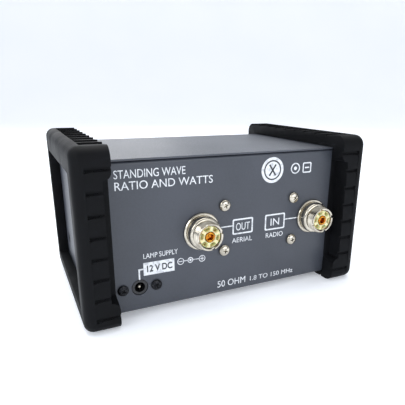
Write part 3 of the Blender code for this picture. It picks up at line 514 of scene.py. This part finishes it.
def lug_corner(edge):
    """The lugs' free inner corners, which run along Y above and below the case's corners."""
    return runs_along(edge, 1) and all(
        near(v.co.x, LUG_X) and abs(v.co.y) / MM > PANEL_Y + 0.5
        and (near(v.co.z, LUG_TOP) or near(v.co.z, tall - LUG_TOP)) for v in edge.verts)


round_edges(ribbed, lug_corner, LUG_ROUND, 5)
print("end frame:", len(ribbed.data.polygons), "faces before its ribs")

# %% [markdown]
# The ribs are ratchet teeth: each rises gently, ends in a sharp riser, and drops into a narrow
# groove whose far side slopes back up. One tooth's empty space is modelled as two wedges made from
# cubes, by moving one edge of each. Its copies then step along the top and down both faces.

# %% One tooth and its copies
def tooth(rise, pitch):
    """The space above one tooth, drawn for the top face: its riser stands at Y = 0."""
    ramp = block("ramp", (50, 0, -rise), (RIB_END_X, pitch - 0.45, 4))
    groove = block("groove", (49.9, -0.001, -1.4), (RIB_END_X + 0.001, 1.2, 4.1))
    for part, lift, push in ((ramp, rise, 0), (groove, 0, 1.1)):
        only(part)
        bpy.ops.object.mode_set(mode="EDIT")
        far_edge = -rise if part is ramp else 4.1
        choose(part, "VERT", lambda v: v.co.y > 0.5 * MM and near(v.co.z, far_edge))
        bpy.ops.transform.translate(value=(0, push * 5 * MM if push else 0, lift * MM))
        bpy.ops.object.mode_set(mode="OBJECT")
    return cut(ramp, groove, operation="UNION")


RIB_PITCH_Y, RIB_PITCH_Z, RIB_MIDDLE_Z = 11.5, 10.9, 46.6
top_tooth, face_tooth = tooth(0.95, RIB_PITCH_Y), tooth(0.4, RIB_PITCH_Z)
teeth = [copied(top_tooth, "tooth", (0, (i - 4.5) * RIB_PITCH_Y, tall)) for i in range(9)]
for i in range(8):
    riser_z = RIB_MIDDLE_Z + (i - 3.5) * RIB_PITCH_Z + 0.9
    teeth.append(copied(face_tooth, "tooth", (0, deep, riser_z), turn=-90, axis="X"))
teeth += [copied(item, "tooth", mirror="Y") for item in teeth[9:]]
for spare in (top_tooth, face_tooth):
    bpy.data.objects.remove(spare)
FOOT_GROOVE_HALF, FOOT_GROOVE_DEPTH = 0.9, 0.9
feet = [block("foot_groove", (50, y - FOOT_GROOVE_HALF, -5),
              (RIB_END_X, y + FOOT_GROOVE_HALF, FOOT_GROOVE_DEPTH))
        for y in [(i - 4) * RIB_PITCH_Y for i in range(9)]]
cut(ribbed, joined(*teeth, *feet))
soften(ribbed, 0.28, segments=2, angle=28, smooth=35)
print("end frame:", len(ribbed.data.polygons), "faces with ribs and soft edges")

# %% Both end frames
left_frame = copied(ribbed, "end_frame_left", mirror="X")
ribbed.name = ribbed.data.name = "end_frame_right"
dressed(ribbed, "case", frame_rubber, "side_frame_right", slot="frame_rubber")
dressed(left_frame, "case", frame_rubber, "side_frame_left", slot="frame_rubber")


# %% [markdown]
# The UHF sockets are turned parts, so they are made as a lathe makes them: one vertex is extruded
# along half of the part's outline, and the outline is spun about the socket's axis. The thread's
# pitch is 24 to the inch, and it is drawn as plain rings, not as a helix. Slots and notches are
# then cut with blocks turned about the same axis.

# %% A lathe
def lathe(name, outline, centre, segments=64):
    """Spins an outline of (radius, distance along Y) points, in millimetres, about a line along Y
    through the centre."""
    bpy.ops.mesh.primitive_plane_add(size=1)
    piece = bpy.context.object
    bpy.ops.object.mode_set(mode="EDIT")
    bpy.ops.mesh.select_mode(type="VERT")
    bpy.ops.mesh.select_all(action="SELECT")
    bpy.ops.mesh.merge(type="CENTER")
    here = Vector((0, 0))
    for i, point in enumerate(outline):
        step = (Vector(point) - here) * MM
        if i == 0:
            bpy.ops.transform.translate(value=(step.x, step.y, 0))
        else:
            bpy.ops.mesh.extrude_vertices_move(TRANSFORM_OT_translate={"value": (step.x, step.y, 0)})
        here = Vector(point)
    bpy.ops.mesh.select_all(action="SELECT")
    bpy.ops.mesh.spin(steps=segments, angle=2 * math.pi, center=(0, 0, 0), axis=(0, 1, 0))
    bpy.ops.mesh.select_all(action="SELECT")
    bpy.ops.mesh.remove_doubles(threshold=2e-6)
    bpy.ops.mesh.normals_make_consistent(inside=False)
    bpy.ops.object.mode_set(mode="OBJECT")
    piece.location = Vector(centre) * MM
    placed(piece, name)
    bpy.ops.object.shade_smooth_by_angle(angle=math.radians(32))
    return piece


def turned_in_place(piece, degrees, about):
    """Turns a piece about a line along Y, from +Z towards +X."""
    about = Vector(about) * MM
    piece.matrix_world = (Matrix.Translation(about) @ Matrix.Rotation(math.radians(degrees), 4, "Y")
                          @ Matrix.Translation(-about))
    return placed(piece, piece.name)


# %% Sockets
REAR_Y = corners("chassis_tray")[1].y
THREAD_PITCH = 25.4 / 24


def uhf_socket(label):
    """Base ring, shell, insulator and contact of one socket, placed over the CAD's own shell."""
    centre = middle(f"{label}_shell")
    centre.y = 0
    end = corners(f"{label}_shell")[1].y
    base = corners(f"{label}_base_ring")[0].y

    ring = lathe(f"{label}_flange_ring", [(8.3, base), (10.5, base), (10.8, base + 0.3),
                                          (10.8, base + 1.1), (10.4, base + 1.5), (9.9, base + 1.55),
                                          (8.3, base + 1.55), (8.3, base)], centre)
    dressed(ring, "case", nickel(f"nickel_{label}_ring", centre), f"{label}_base_ring", slot="nickel")

    step = base + 6.4
    outline = [(6.5, REAR_Y - 4), (7.8, REAR_Y - 4), (7.8, base + 1.75), (9.2, base + 1.75),
               (9.55, base + 2.1), (9.6, base + 2.6), (9.5, step - 1.4), (9.2, step - 0.6),
               (8.6, step - 0.1), (7.9, step), (7.3, step + 0.1)]
    along = step + 0.4
    while along + THREAD_PITCH < end - 0.8:
        outline += [(7.3, along), (7.85, along + 0.42), (7.95, along + 0.53), (7.85, along + 0.64)]
        along += THREAD_PITCH
    outline += [(7.3, along), (7.3, end - 0.75), (7.6, end - 0.6), (7.65, end - 0.25), (7.4, end - 0.02),
                (6.9, end - 0.02), (6.5, end - 0.3), (6.5, REAR_Y - 4)]
    shell = lathe(f"{label}_threaded_shell", outline, centre)
    for degrees in (15, 105, 195, 285):
        notch = block("notch", (centre.x + 5.6, end - 1.1, centre.z - 0.85),
                      (centre.x + 9, end + 2, centre.z + 0.85))
        cut(shell, turned_in_place(notch, degrees, centre))
    soften(shell, 0.06, segments=1, angle=50, smooth=32)
    dressed(shell, "case", nickel(f"nickel_{label}_shell", centre), f"{label}_shell", slot="nickel")

    face = end - 0.75
    resin = lathe(f"{label}_moulded_insulator", [(3.1, REAR_Y - 6), (6.1, REAR_Y - 6), (6.1, face - 0.3),
                                                 (5.85, face), (3.35, face), (3.1, face - 0.2),
                                                 (3.1, REAR_Y - 6)], centre)
    wedge = block("wedge", (-2.05, face - 3.5, 3.55), (2.05, face + 2, 5.65))
    only(wedge)
    bpy.ops.object.mode_set(mode="EDIT")
    choose(wedge, "VERT", lambda v: near(v.co.z, 3.55))
    bpy.ops.transform.resize(value=(0.62, 1, 1), center_override=(0, 0, 3.55 * MM))
    bpy.ops.object.mode_set(mode="OBJECT")
    round_edges(wedge, lambda edge: runs_along(edge, 1), 0.35, 3)
    wedges = [copied(wedge, "wedge_turned", (centre.x, 0, centre.z), 60 * i + 20) for i in range(6)]
    bpy.data.objects.remove(wedge)
    cut(resin, joined(*wedges))
    soften(resin, 0.1, segments=2, angle=50, smooth=32)
    dressed(resin, "case", insulator_resin, f"{label}_insulator", slot="socket_insulator")

    tip = corners(f"{label}_contact")[1].y
    back = corners(f"{label}_contact")[0].y
    pin = lathe(f"{label}_centre_contact", [(0, back), (2.1, back), (2.4, back + 0.3), (2.4, REAR_Y - 1.5),
                                            (2.75, REAR_Y - 1.5), (2.75, tip - 0.5), (2.5, tip - 0.1),
                                            (2.2, tip), (1.85, tip - 0.15), (1.6, tip - 0.8),
                                            (1.6, tip - 3.0), (0, tip - 3.4)], centre, 40)
    for degrees in (30, 120):
        slit = block("slit", (centre.x - 3, tip - 5, centre.z - 0.16),
                     (centre.x + 3, tip + 1, centre.z + 0.16))
        cut(pin, turned_in_place(slit, degrees, centre))
    soften(pin, 0.05, segments=1, angle=50, smooth=32)
    dressed(pin, "case", gold, f"{label}_contact", slot="gold")


for label in ("output", "input"):
    uhf_socket(label)
print("sockets made")

# %% [markdown]
# One pan-head screw is modelled standing on the rear panel, and its copies go to their places.
# The cross recess tapers towards its bottom, as a driver's tip does, so its cutters are blocks
# whose bottom edges are drawn together. Each copy is turned a little differently, because nobody
# lines screws up.

# %% Screws
def recess(reach, wide, top, deep):
    """The cross-shaped space that a driver's tip needs, along Y at the world's middle."""
    arms = [block("arm", (-reach, top - deep, -wide), (reach, top + 1, wide)),
            block("arm", (-wide, top - deep, -reach), (wide, top + 1, reach))]
    cross = cut(arms[0], arms[1], operation="UNION")
    only(cross)
    bpy.ops.object.mode_set(mode="EDIT")
    choose(cross, "VERT", lambda v: near(v.co.y, top - deep))
    bpy.ops.transform.resize(value=(0.45, 1, 0.45), center_override=(0, (top - deep) * MM, 0))
    bpy.ops.object.mode_set(mode="OBJECT")
    return cross


def pan_screw(name, radius, height, shank, length):
    """A screw along Y whose head sits on Y = 0 and faces +Y."""
    dome = [(radius * math.sin(a), height * (0.3 + 0.7 * math.cos(a)))
            for a in [math.radians(9 * i) for i in range(11)]]
    made = lathe(name, dome + [(radius, 0.12), (radius - 0.12, 0), (shank, 0), (shank, -length),
                               (0, -length - 0.4)], (0, 0, 0), 40)
    cut(made, recess(radius * 0.56, radius * 0.125, height, height * 0.62))
    return soften(made, 0.05, segments=1, angle=55, smooth=32)


def at_node(model, node, head, material, turn, slot):
    """Copies a screw to a CAD screw's place. The head's height says where its seat is."""
    low, high = corners(node)
    centre = (low + high) / 2
    made = copied(model, f"{node}_finished", (centre.x, high.y - head, centre.z), turn)
    return dressed(made, "case", material, node, slot=slot)


coupler_screw = pan_screw("coupler_screw_model", 3.4, 2.25, 1.9, 6.3)
for i, node in enumerate(n for n in sorted(nodes) if n.startswith("coupler_screw")):
    at_node(coupler_screw, node, 2.25, nickel(f"nickel_{node}", middle(node)), 17 + 31 * i, "nickel")
jack_screw = pan_screw("jack_screw_model", 3.0, 1.4, 1.5, 5.3)
for i, node in enumerate(n for n in sorted(nodes) if n.startswith("jack_screw")):
    at_node(jack_screw, node, 1.4, black_oxide, 8 + 40 * i, "black_screw")
for spare in (coupler_screw, jack_screw):
    bpy.data.objects.remove(spare)

# %% [markdown]
# The lettering is screen-printed in white: a film of ink five hundredths of a millimetre thick.
# Words are text objects, turned into meshes before they are placed. Boxes, rings and leader lines
# are thin blocks and thin turned rings. Everything of one colour becomes one piece.

# %% Printing
INK = 0.05
SIDES = {"rear": Matrix(((-1, 0, 0), (0, 0, 1), (0, 1, 0))).to_4x4(),
         "front": Matrix(((1, 0, 0), (0, 0, -1), (0, 1, 0))).to_4x4()}


def words(text, x, z, height, face_y, side="rear", width=None, align="LEFT", bold=0.0):
    """Printed words: capitals this high, starting at X (or centred on it), on the face at face_y."""
    bpy.ops.object.text_add()
    made = bpy.context.object
    made.data.body, made.data.align_x = text, align
    made.data.size, made.data.extrude = height * MM / 0.70, INK * MM / 2
    made.data.resolution_u, made.data.offset = 4, bold * MM
    only(made)
    bpy.ops.object.convert(target="MESH")
    made = bpy.context.object
    squeeze = width * MM / made.dimensions.x if width else 1
    place = Matrix.Translation(Vector((x, face_y, z)) * MM) @ SIDES[side]
    made.matrix_world = place @ Matrix.Diagonal((squeeze, 1, 1, 1))
    return placed(made, "words")


def bar(x0, z0, x1, z1, face_y):
    """A printed rectangle."""
    return block("bar", (min(x0, x1), face_y - INK / 2, min(z0, z1)),
                 (max(x0, x1), face_y + INK / 2, max(z0, z1)))


def printed_box(x0, z0, x1, z1, line, face_y):
    """A printed outline of a rectangle."""
    inner = block("inner", (x0 + line, face_y - 1, z0 + line), (x1 - line, face_y + 1, z1 - line))
    made = bar(x0, z0, x1, z1, face_y)
    round_edges(made, lambda edge: runs_along(edge, 1), 0.9, 4)
    round_edges(inner, lambda edge: runs_along(edge, 1), 0.5, 4)
    return cut(made, inner)


def ring(x, z, radius, hole, face_y, segments=40):
    """A printed ring, or a disc when the hole is nothing."""
    low, high = face_y - INK / 2, face_y + INK / 2
    outline = [(hole, low), (radius, low), (radius, high), (hole, high)]
    return lathe("ring", outline + ([(hole, low)] if hole else []), (x, 0, z), segments)


# %% Print on the rear panel
PRINT_Y = REAR_Y + INK / 2 + 0.01
OUT_X, IN_X, JACK_X = [middle(node).x for node in ("output_shell", "input_shell", "power_jack_pin")]
white = [words("STANDING WAVE", 66.6, 77.5, 4.3, PRINT_Y, width=37.6),
         words("RATIO AND WATTS", 66.8, 71.6, 4.3, PRINT_Y, width=53.5),
         ring(-25.9, 75.8, 7.6, 0, PRINT_Y, 64),
         ring(-42.2, 75.8, 3.3, 2.6, PRINT_Y), ring(-42.2, 75.8, 1.1, 0, PRINT_Y),
         printed_box(-54.0, 72.6, -47.6, 79.0, 0.75, PRINT_Y),
         bar(-49.2, 75.4, -52.4, 76.2, PRINT_Y),
         printed_box(-13.7, 39.3, 0.0, 48.8, 0.9, PRINT_Y),
         words("OUT", -6.85, 41.7, 4.6, PRINT_Y, width=9.2, align="CENTER"),
         words("AERIAL", -6.6, 34.3, 3.0, PRINT_Y, width=13.6, align="CENTER"),
         bar(0.0, 44.6, OUT_X - 10.9, 45.3, PRINT_Y),
         printed_box(-36.5, 38.9, -22.1, 48.9, 0.9, PRINT_Y),
         words("IN", -29.3, 41.6, 4.6, PRINT_Y, width=6.2, align="CENTER"),
         words("RADIO", -29.3, 34.1, 3.0, PRINT_Y, width=12.4, align="CENTER"),
         bar(-36.5, 44.2, IN_X + 10.9, 44.9, PRINT_Y),
         words("LAMP SUPPLY", 53.8, 33.4, 2.9, PRINT_Y, width=19.5),
         bar(53.8, 23.6, 36.2, 31.0, PRINT_Y),
         bar(JACK_X - 0.4, 21.8, JACK_X + 0.4, 27.1, PRINT_Y),
         bar(53.7, 27.1, JACK_X + 0.4, 27.9, PRINT_Y),
         ring(32.4, 28.3, 2.0, 1.6, PRINT_Y), bar(31.2, 28.1, 33.6, 28.5, PRINT_Y),
         bar(30.4, 28.1, 27.6, 28.5, PRINT_Y), ring(26.6, 28.2, 1.7, 1.2, PRINT_Y),
         ring(26.6, 28.2, 0.7, 0, PRINT_Y), bar(25.0, 28.0, 21.4, 28.4, PRINT_Y),
         ring(19.4, 28.0, 2.0, 1.6, PRINT_Y), bar(18.2, 27.8, 20.6, 28.2, PRINT_Y),
         bar(19.2, 26.8, 19.6, 27.75, PRINT_Y), bar(19.2, 28.25, 19.6, 29.2, PRINT_Y),
         words("50 OHM", 9.7, 7.4, 4.2, PRINT_Y, width=19.0),
         words("1.8 TO 150 MHz", -12.0, 7.6, 3.0, PRINT_Y, width=32.0)]
dressed(joined(*white), "case", white_ink)
bpy.context.object.name = "rear_print_white"
PROUD_Y = PRINT_Y + INK
dark = [words("12 V DC", 45.0, 25.5, 3.7, PROUD_Y, width=14.4, align="CENTER", bold=0.13),
        ring(-25.9, 75.8, 5.9, 5.1, PROUD_Y, 48),
        turned_in_place(bar(-26.4, 71.9, -25.4, 79.7, PROUD_Y), 34, (-25.9, 0, 75.8)),
        turned_in_place(bar(-26.4, 71.9, -25.4, 79.7, PROUD_Y + 0.01), -34, (-25.9, 0, 75.8))]
dressed(joined(*dark), "case", dark_ink)
bpy.context.object.name = "rear_print_dark"
print("rear print done")

# %% [markdown]
# The dial is drawn as a real crossing-needle meter is. Each needle turns about its own pivot and
# sweeps 43 degrees, and its deflection follows the square root of the power. Its scale is an arc
# about the same pivot. Where the needles cross gives the standing wave ratio, so each red line
# joins the crossings that share one ratio, and they are computed here rather than drawn by eye.

# %% Dial geometry
MX = middle("meter_housing").x
PIVOT_OFFSET, PIVOT_Z, REST, SWEEP = 35.0, 22.5, 13.0, 43.0
FORWARD_PIVOT, REFLECTED_PIVOT = (MX + PIVOT_OFFSET, PIVOT_Z), (MX - PIVOT_OFFSET, PIVOT_Z)
DIAL_Y = corners("meter_dial")[0].y - INK / 2 - 0.01
SCALE_RADIUS = 56.0


def needle_angle(side, share):
    """A needle's direction in degrees from +X towards +Z, at a share of full deflection."""
    angle = REST + SWEEP * share
    return 180 - angle if side == "forward" else angle


def on_scale(side, share, radius):
    pivot = FORWARD_PIVOT if side == "forward" else REFLECTED_PIVOT
    angle = math.radians(needle_angle(side, share))
    return pivot[0] + radius * math.cos(angle), pivot[1] + radius * math.sin(angle)


def ribbon(points, width, face_y):
    """A thin printed line through points: its path is extruded, then its edge is moved sideways."""
    bpy.ops.mesh.primitive_plane_add(size=1)
    made = bpy.context.object
    bpy.ops.object.mode_set(mode="EDIT")
    bpy.ops.mesh.select_mode(type="VERT")
    bpy.ops.mesh.select_all(action="SELECT")
    bpy.ops.mesh.merge(type="CENTER")
    here = Vector((0, 0))
    for i, point in enumerate(points):
        step = (Vector(point) - here) * MM
        if i == 0:
            bpy.ops.transform.translate(value=(step.x, 0, step.y))
        else:
            bpy.ops.mesh.extrude_vertices_move(TRANSFORM_OT_translate={"value": (step.x, 0, step.y)})
        here = Vector(point)
    run = Vector(points[-1]) - Vector(points[0])
    side = Vector((run.y, -run.x)).normalized() * width * MM
    bpy.ops.mesh.select_all(action="SELECT")
    bpy.ops.mesh.select_mode(type="EDGE")
    bpy.ops.mesh.extrude_edges_move(TRANSFORM_OT_translate={"value": (side.x, 0, side.y)})
    bpy.ops.mesh.select_all(action="SELECT")
    bpy.ops.mesh.extrude_region_move(TRANSFORM_OT_translate={"value": (0, -INK * MM, 0)})
    bpy.ops.mesh.select_all(action="SELECT")
    bpy.ops.mesh.normals_make_consistent(inside=False)
    bpy.ops.object.mode_set(mode="OBJECT")
    made.location = (0, (face_y + INK / 2) * MM, 0)
    return placed(made, "ribbon")


def tick(side, share, long):
    """A tick across a scale, turned about the pivot."""
    x, z = on_scale(side, share, SCALE_RADIUS)
    mark = block("tick", (x, DIAL_Y - INK / 2, z - 0.11), (x + long, DIAL_Y + INK / 2, z + 0.11))
    return turned_in_place(mark, -needle_angle(side, share), (x, 0, z))


# %% Dial print
black = []
for side, full, marks, minor in (
        ("forward", 200, (0, 5, 10, 20, 40, 60, 80, 100, 150, 200),
         (2.5, 7.5, 15, 30, 50, 70, 90, 125, 175)),
        ("reflected", 40, (0, 1, 2, 5, 10, 15, 20, 30, 40), (0.5, 1.5, 3, 4, 7.5, 12.5, 17.5, 25, 35))):
    black.append(ribbon([on_scale(side, i / 24, SCALE_RADIUS) for i in range(25)], 0.3, DIAL_Y))
    black += [tick(side, math.sqrt(value / full), 2.0) for value in marks]
    black += [tick(side, math.sqrt(value / full), 1.1) for value in minor]
    for value in marks:
        x, z = on_scale(side, math.sqrt(value / full), SCALE_RADIUS + 3.9)
        if value == full:
            x += 2.2 if side == "forward" else -2.2
        black.append(words(str(value), x, z - 0.8, 1.6, DIAL_Y, "front", align="CENTER"))
black += [words("FORWARD  W", MX - 33.5, 70.6, 2.1, DIAL_Y, "front", align="CENTER"),
          words("REFLECTED  W", MX + 32.5, 70.6, 2.1, DIAL_Y, "front", align="CENTER")]
dressed(joined(*black), "case", black_ink)
bpy.context.object.name = "dial_print_black"


def crossing(forward_share, reflected_share):
    """Where the two needles' centre lines cross."""
    a, b = [math.tan(math.radians(needle_angle(side, share)))
            for side, share in (("forward", forward_share), ("reflected", reflected_share))]
    (x1, z1), (x2, z2) = FORWARD_PIVOT, REFLECTED_PIVOT
    x = (z2 - z1 + a * x1 - b * x2) / (a - b)
    return x, z1 + a * (x - x1)


red = []
for ratio, label in ((1.2, "1.2"), (1.5, "1.5"), (2, "2"), (3, "3"), (6, "6")):
    loss = (ratio - 1) / (ratio + 1) * math.sqrt(200 / 40)
    shares = [0.30 + 0.70 * i / 14 for i in range(15)]
    path = [crossing(share, share * loss) for share in shares if share * loss <= 1]
    path = [point for point in path if point[1] < 66]
    red.append(ribbon(path, 0.28, DIAL_Y))
    x, z = path[-1]
    red.append(words(label, x, z + 1.0, 1.5, DIAL_Y, "front", align="CENTER"))
red.append(words("SWR", MX, 31.2, 2.6, DIAL_Y, "front", align="CENTER"))
dressed(joined(*red), "case", red_ink)
bpy.context.object.name = "dial_print_red"
print("dial printed")

# %% [markdown]
# The knob gets its flutes and a white pointer line, and the two push buttons get dished faces. The
# lens is clear, so it casts no shadow: otherwise a renderer that can't bend lamp light through
# plastic would leave the dial in the dark.

# %% Knob and buttons
POINTER_ANGLE = -30  # at rest the pointer leans left of upright, and it turns 60 degrees clockwise
knob_low, knob_high = corners("range_knob")
KX, KZ = (knob_low.x + knob_high.x) / 2, (knob_low.z + knob_high.z) / 2
face, back, radius = knob_low.y, -49.8, (knob_high.x - knob_low.x) / 2
knob = lathe("fluted_knob", [(0, face + 0.5), (6.0, face + 0.45), (8.4, face + 0.1), (radius - 2.7, face),
                             (radius - 2.0, face + 0.3), (radius - 1.6, face + 1.0),
                             (radius - 1.1, back - 2.0),
                             (radius - 0.4, back - 1.7), (radius - 0.05, back - 1.2), (radius - 0.05, back),
                             (8.0, back), (8.0, back - 2.0), (3.35, back - 2.0), (3.35, -56.0), (0, -56.0)],
             (KX, 0, KZ), 96)
flute = lathe("flute", [(0, face - 1), (0.75, face - 1), (0.75, back - 2.6), (0.4, back - 2.2),
                        (0, back - 2.1)],
              (KX, 0, KZ + radius - 1.0), 16)
flutes = [copied(flute, "flute_copy", turn=12 * i, about=(KX, 0, KZ)) for i in range(30)]
bpy.data.objects.remove(flute)
cut(knob, joined(*flutes))
groove = turned_in_place(block("groove", (KX - 0.6, face - 1, KZ + 3), (KX + 0.6, face + 0.7, KZ + 15)),
                         POINTER_ANGLE, (KX, 0, KZ))
cut(knob, groove)
soften(knob, 0.12, segments=2, angle=40, smooth=35)
dressed(knob, "range_control", knob_abs, "range_knob", slot="black_plastic")
line = turned_in_place(block("pointer_line", (KX - 0.5, face + 0.28, KZ + 3.3),
                             (KX + 0.5, face + 0.7, KZ + 9.2)),
                       POINTER_ANGLE, (KX, 0, KZ))
dressed(line, "range_control", white_ink)

for label, body in (("mode", "mode_push"), ("lamp", "lamp_push")):
    low, high = corners(f"{label}_button")
    cap_high = Vector((high.x, -44.4, high.z))
    cap = block(f"{label}_button_cap", low, cap_high)
    only(cap)
    bpy.ops.object.mode_set(mode="EDIT")
    choose(cap, "FACE", lambda f: all(near(v.co.y, low.y) for v in f.verts))
    bpy.ops.mesh.inset(thickness=1.1 * MM)
    bpy.ops.transform.translate(value=(0, 0.45 * MM, 0))
    bpy.ops.object.mode_set(mode="OBJECT")
    soften(cap, 0.45, segments=3, angle=20, smooth=60)
    centre = (low + high) / 2
    stem = block("stem", (centre.x - 2, -44.6, centre.z - 2), (centre.x + 2, high.y, centre.z + 2))
    cut(cap, stem, operation="UNION")
    dressed(cap, body, knob_abs, f"{label}_button", slot="black_plastic")

lens_piece = nodes["meter_lens"]
lens_piece.visible_shadow = False

# %% Print on the front panel, the apron and the bezel
FRONT_Y = corners("front_panel")[0].y - INK / 2 - 0.01
BEZEL_FACE_Y = corners("meter_housing")[0].y - INK / 2 - 0.01
APRON_Y = corners("meter_apron")[0].y - INK / 2 - 0.01


def dot(angle, reach):
    """A printed dot on the panel at an angle round the knob, clockwise from the top."""
    return (KX + reach * math.sin(math.radians(angle)), KZ + reach * math.cos(math.radians(angle)))


MODE_Z, LAMP_Z = middle("mode_button").z, middle("lamp_button").z
front = [words("RANGE", KX, KZ + 22.4, 2.6, FRONT_Y, "front", align="CENTER")]
for angle, text in ((-30, "20 W"), (0, "200 W"), (30, "2 kW")):
    x, z = dot(angle, 14.2)
    front.append(ring(x, z, 0.55, 0, FRONT_Y, 16))
    x, z = dot(angle, 17.0)
    front.append(words(text, x, z - 0.9, 1.9, FRONT_Y, "front", align="CENTER"))
for z, text in ((MODE_Z, "PEAK"), (LAMP_Z, "LAMP")):
    front.append(words(text, KX + 6.2, z - 1.0, 2.0, FRONT_Y, "front", width=8.2))
front += [words("SWR AND POWER METER", MX, 76.7, 2.2, BEZEL_FACE_Y, "front", align="CENTER"),
          words("STANDING WAVE RATIO", MX, 19.3, 2.2, APRON_Y, "front", align="CENTER")]
dressed(joined(*front), "case", white_ink)
bpy.context.object.name = "front_print_white"
print("front done")

# %% [markdown]
# Everything that keeps its CAD shape still needs its finish. The record names a material slot for
# each node, so one table turns slots into finishes. The inner parts are seen only when the case is
# opened, but they get their own materials too: tinplate, magnet steel, wire enamel, brass, ferrite,
# board laminate, glass and PVC.

# %% Materials of the inner parts
def metal(name, low, high, grain_mm, rough, stretch=(1, 1, 1), depth=0.004):
    """A metal whose shade and roughness follow one grain, which can be drawn out along an axis."""
    made, tree, shader, place = finish(name, high, Metallic=1.0)
    drawn = add(tree, "ShaderNodeMapping", {"Vector": place, "Scale": stretch})
    grain = add(tree, "ShaderNodeTexNoise", {"Vector": drawn.outputs["Vector"],
                                             "Scale": 1 / (grain_mm * MM), "Detail": 4})
    tree.links.new(shades(tree, grain.outputs["Fac"], low, high), shader.inputs["Base Color"])
    tree.links.new(spread(tree, grain.outputs["Fac"], *rough), shader.inputs["Roughness"])
    relief(tree, shader, grain.outputs["Fac"], depth, 0.6)
    return made


def plain(name, low, high, grain_mm, rough, depth=0.01, **sockets):
    """A paint, plastic or ceramic with one grain."""
    made, tree, shader, place = finish(name, high, **sockets)
    grain = add(tree, "ShaderNodeTexNoise", {"Vector": place, "Scale": 1 / (grain_mm * MM), "Detail": 4})
    tree.links.new(shades(tree, grain.outputs["Fac"], low, high), shader.inputs["Base Color"])
    tree.links.new(spread(tree, grain.outputs["Fac"], *rough), shader.inputs["Roughness"])
    relief(tree, shader, grain.outputs["Fac"], depth, 0.6)
    return made


tinplate = metal("tinned_steel", "#A9ACB0", "#C9CCD0", 6.0, (0.22, 0.40), (0.15, 1, 1))
magnet_steel = metal("ground_magnet_steel", "#5A5C60", "#85878C", 0.8, (0.30, 0.50), (1, 0.1, 1))
copper = metal("enamelled_copper", "#9C4A26", "#C8703C", 0.35, (0.20, 0.36), (1, 4, 1))
brass = metal("turned_brass", "#A8823C", "#D0AC62", 1.2, (0.20, 0.38), (1, 0.2, 1))
ferrite = plain("sintered_ferrite", "#1E1D1F", "#39383B", 0.4, (0.45, 0.7), 0.02)
laminate = plain("solder_masked_laminate", "#1C4A2A", "#2F6B3E", 2.2, (0.25, 0.45), 0.015)
pvc = plain("pvc_wire_sleeve", "#8C1F1A", "#B32B22", 1.5, (0.35, 0.5), 0.01)
needle_paint = plain("needle_lacquer", "#0E0E10", "#242428", 0.5, (0.3, 0.5), 0.004)
lamp_glass = plain("lamp_bulb_glass", "#F4F6F4", "#FFFFFF", 1.4, (0.0, 0.08), 0.004,
                   Transmission_Weight=1.0, IOR=1.5)

# %% Finishes for the CAD nodes
SLOT_FINISH = {
    "panel_paint": panel_paint, "cover_paint": cover_paint, "frame_rubber": frame_rubber,
    "nickel": plate, "gold": gold, "socket_insulator": insulator_resin, "black_plastic": bezel_abs,
    "black_screw": black_oxide, "clear_lens": lens_acrylic, "dial_card": dial_card,
    "tinned_steel": tinplate, "magnet_steel": magnet_steel, "copper": copper, "brass": brass,
    "ferrite": ferrite, "circuit_board": laminate, "wire_sleeve": pvc, "needle_paint": needle_paint,
    "lamp_glass": lamp_glass,
}
for part in frame["record"]["subparts"]:
    chosen = SLOT_FINISH[part["material_slot"]]
    for place in nodes[part["node"]].material_slots:
        place.material = chosen
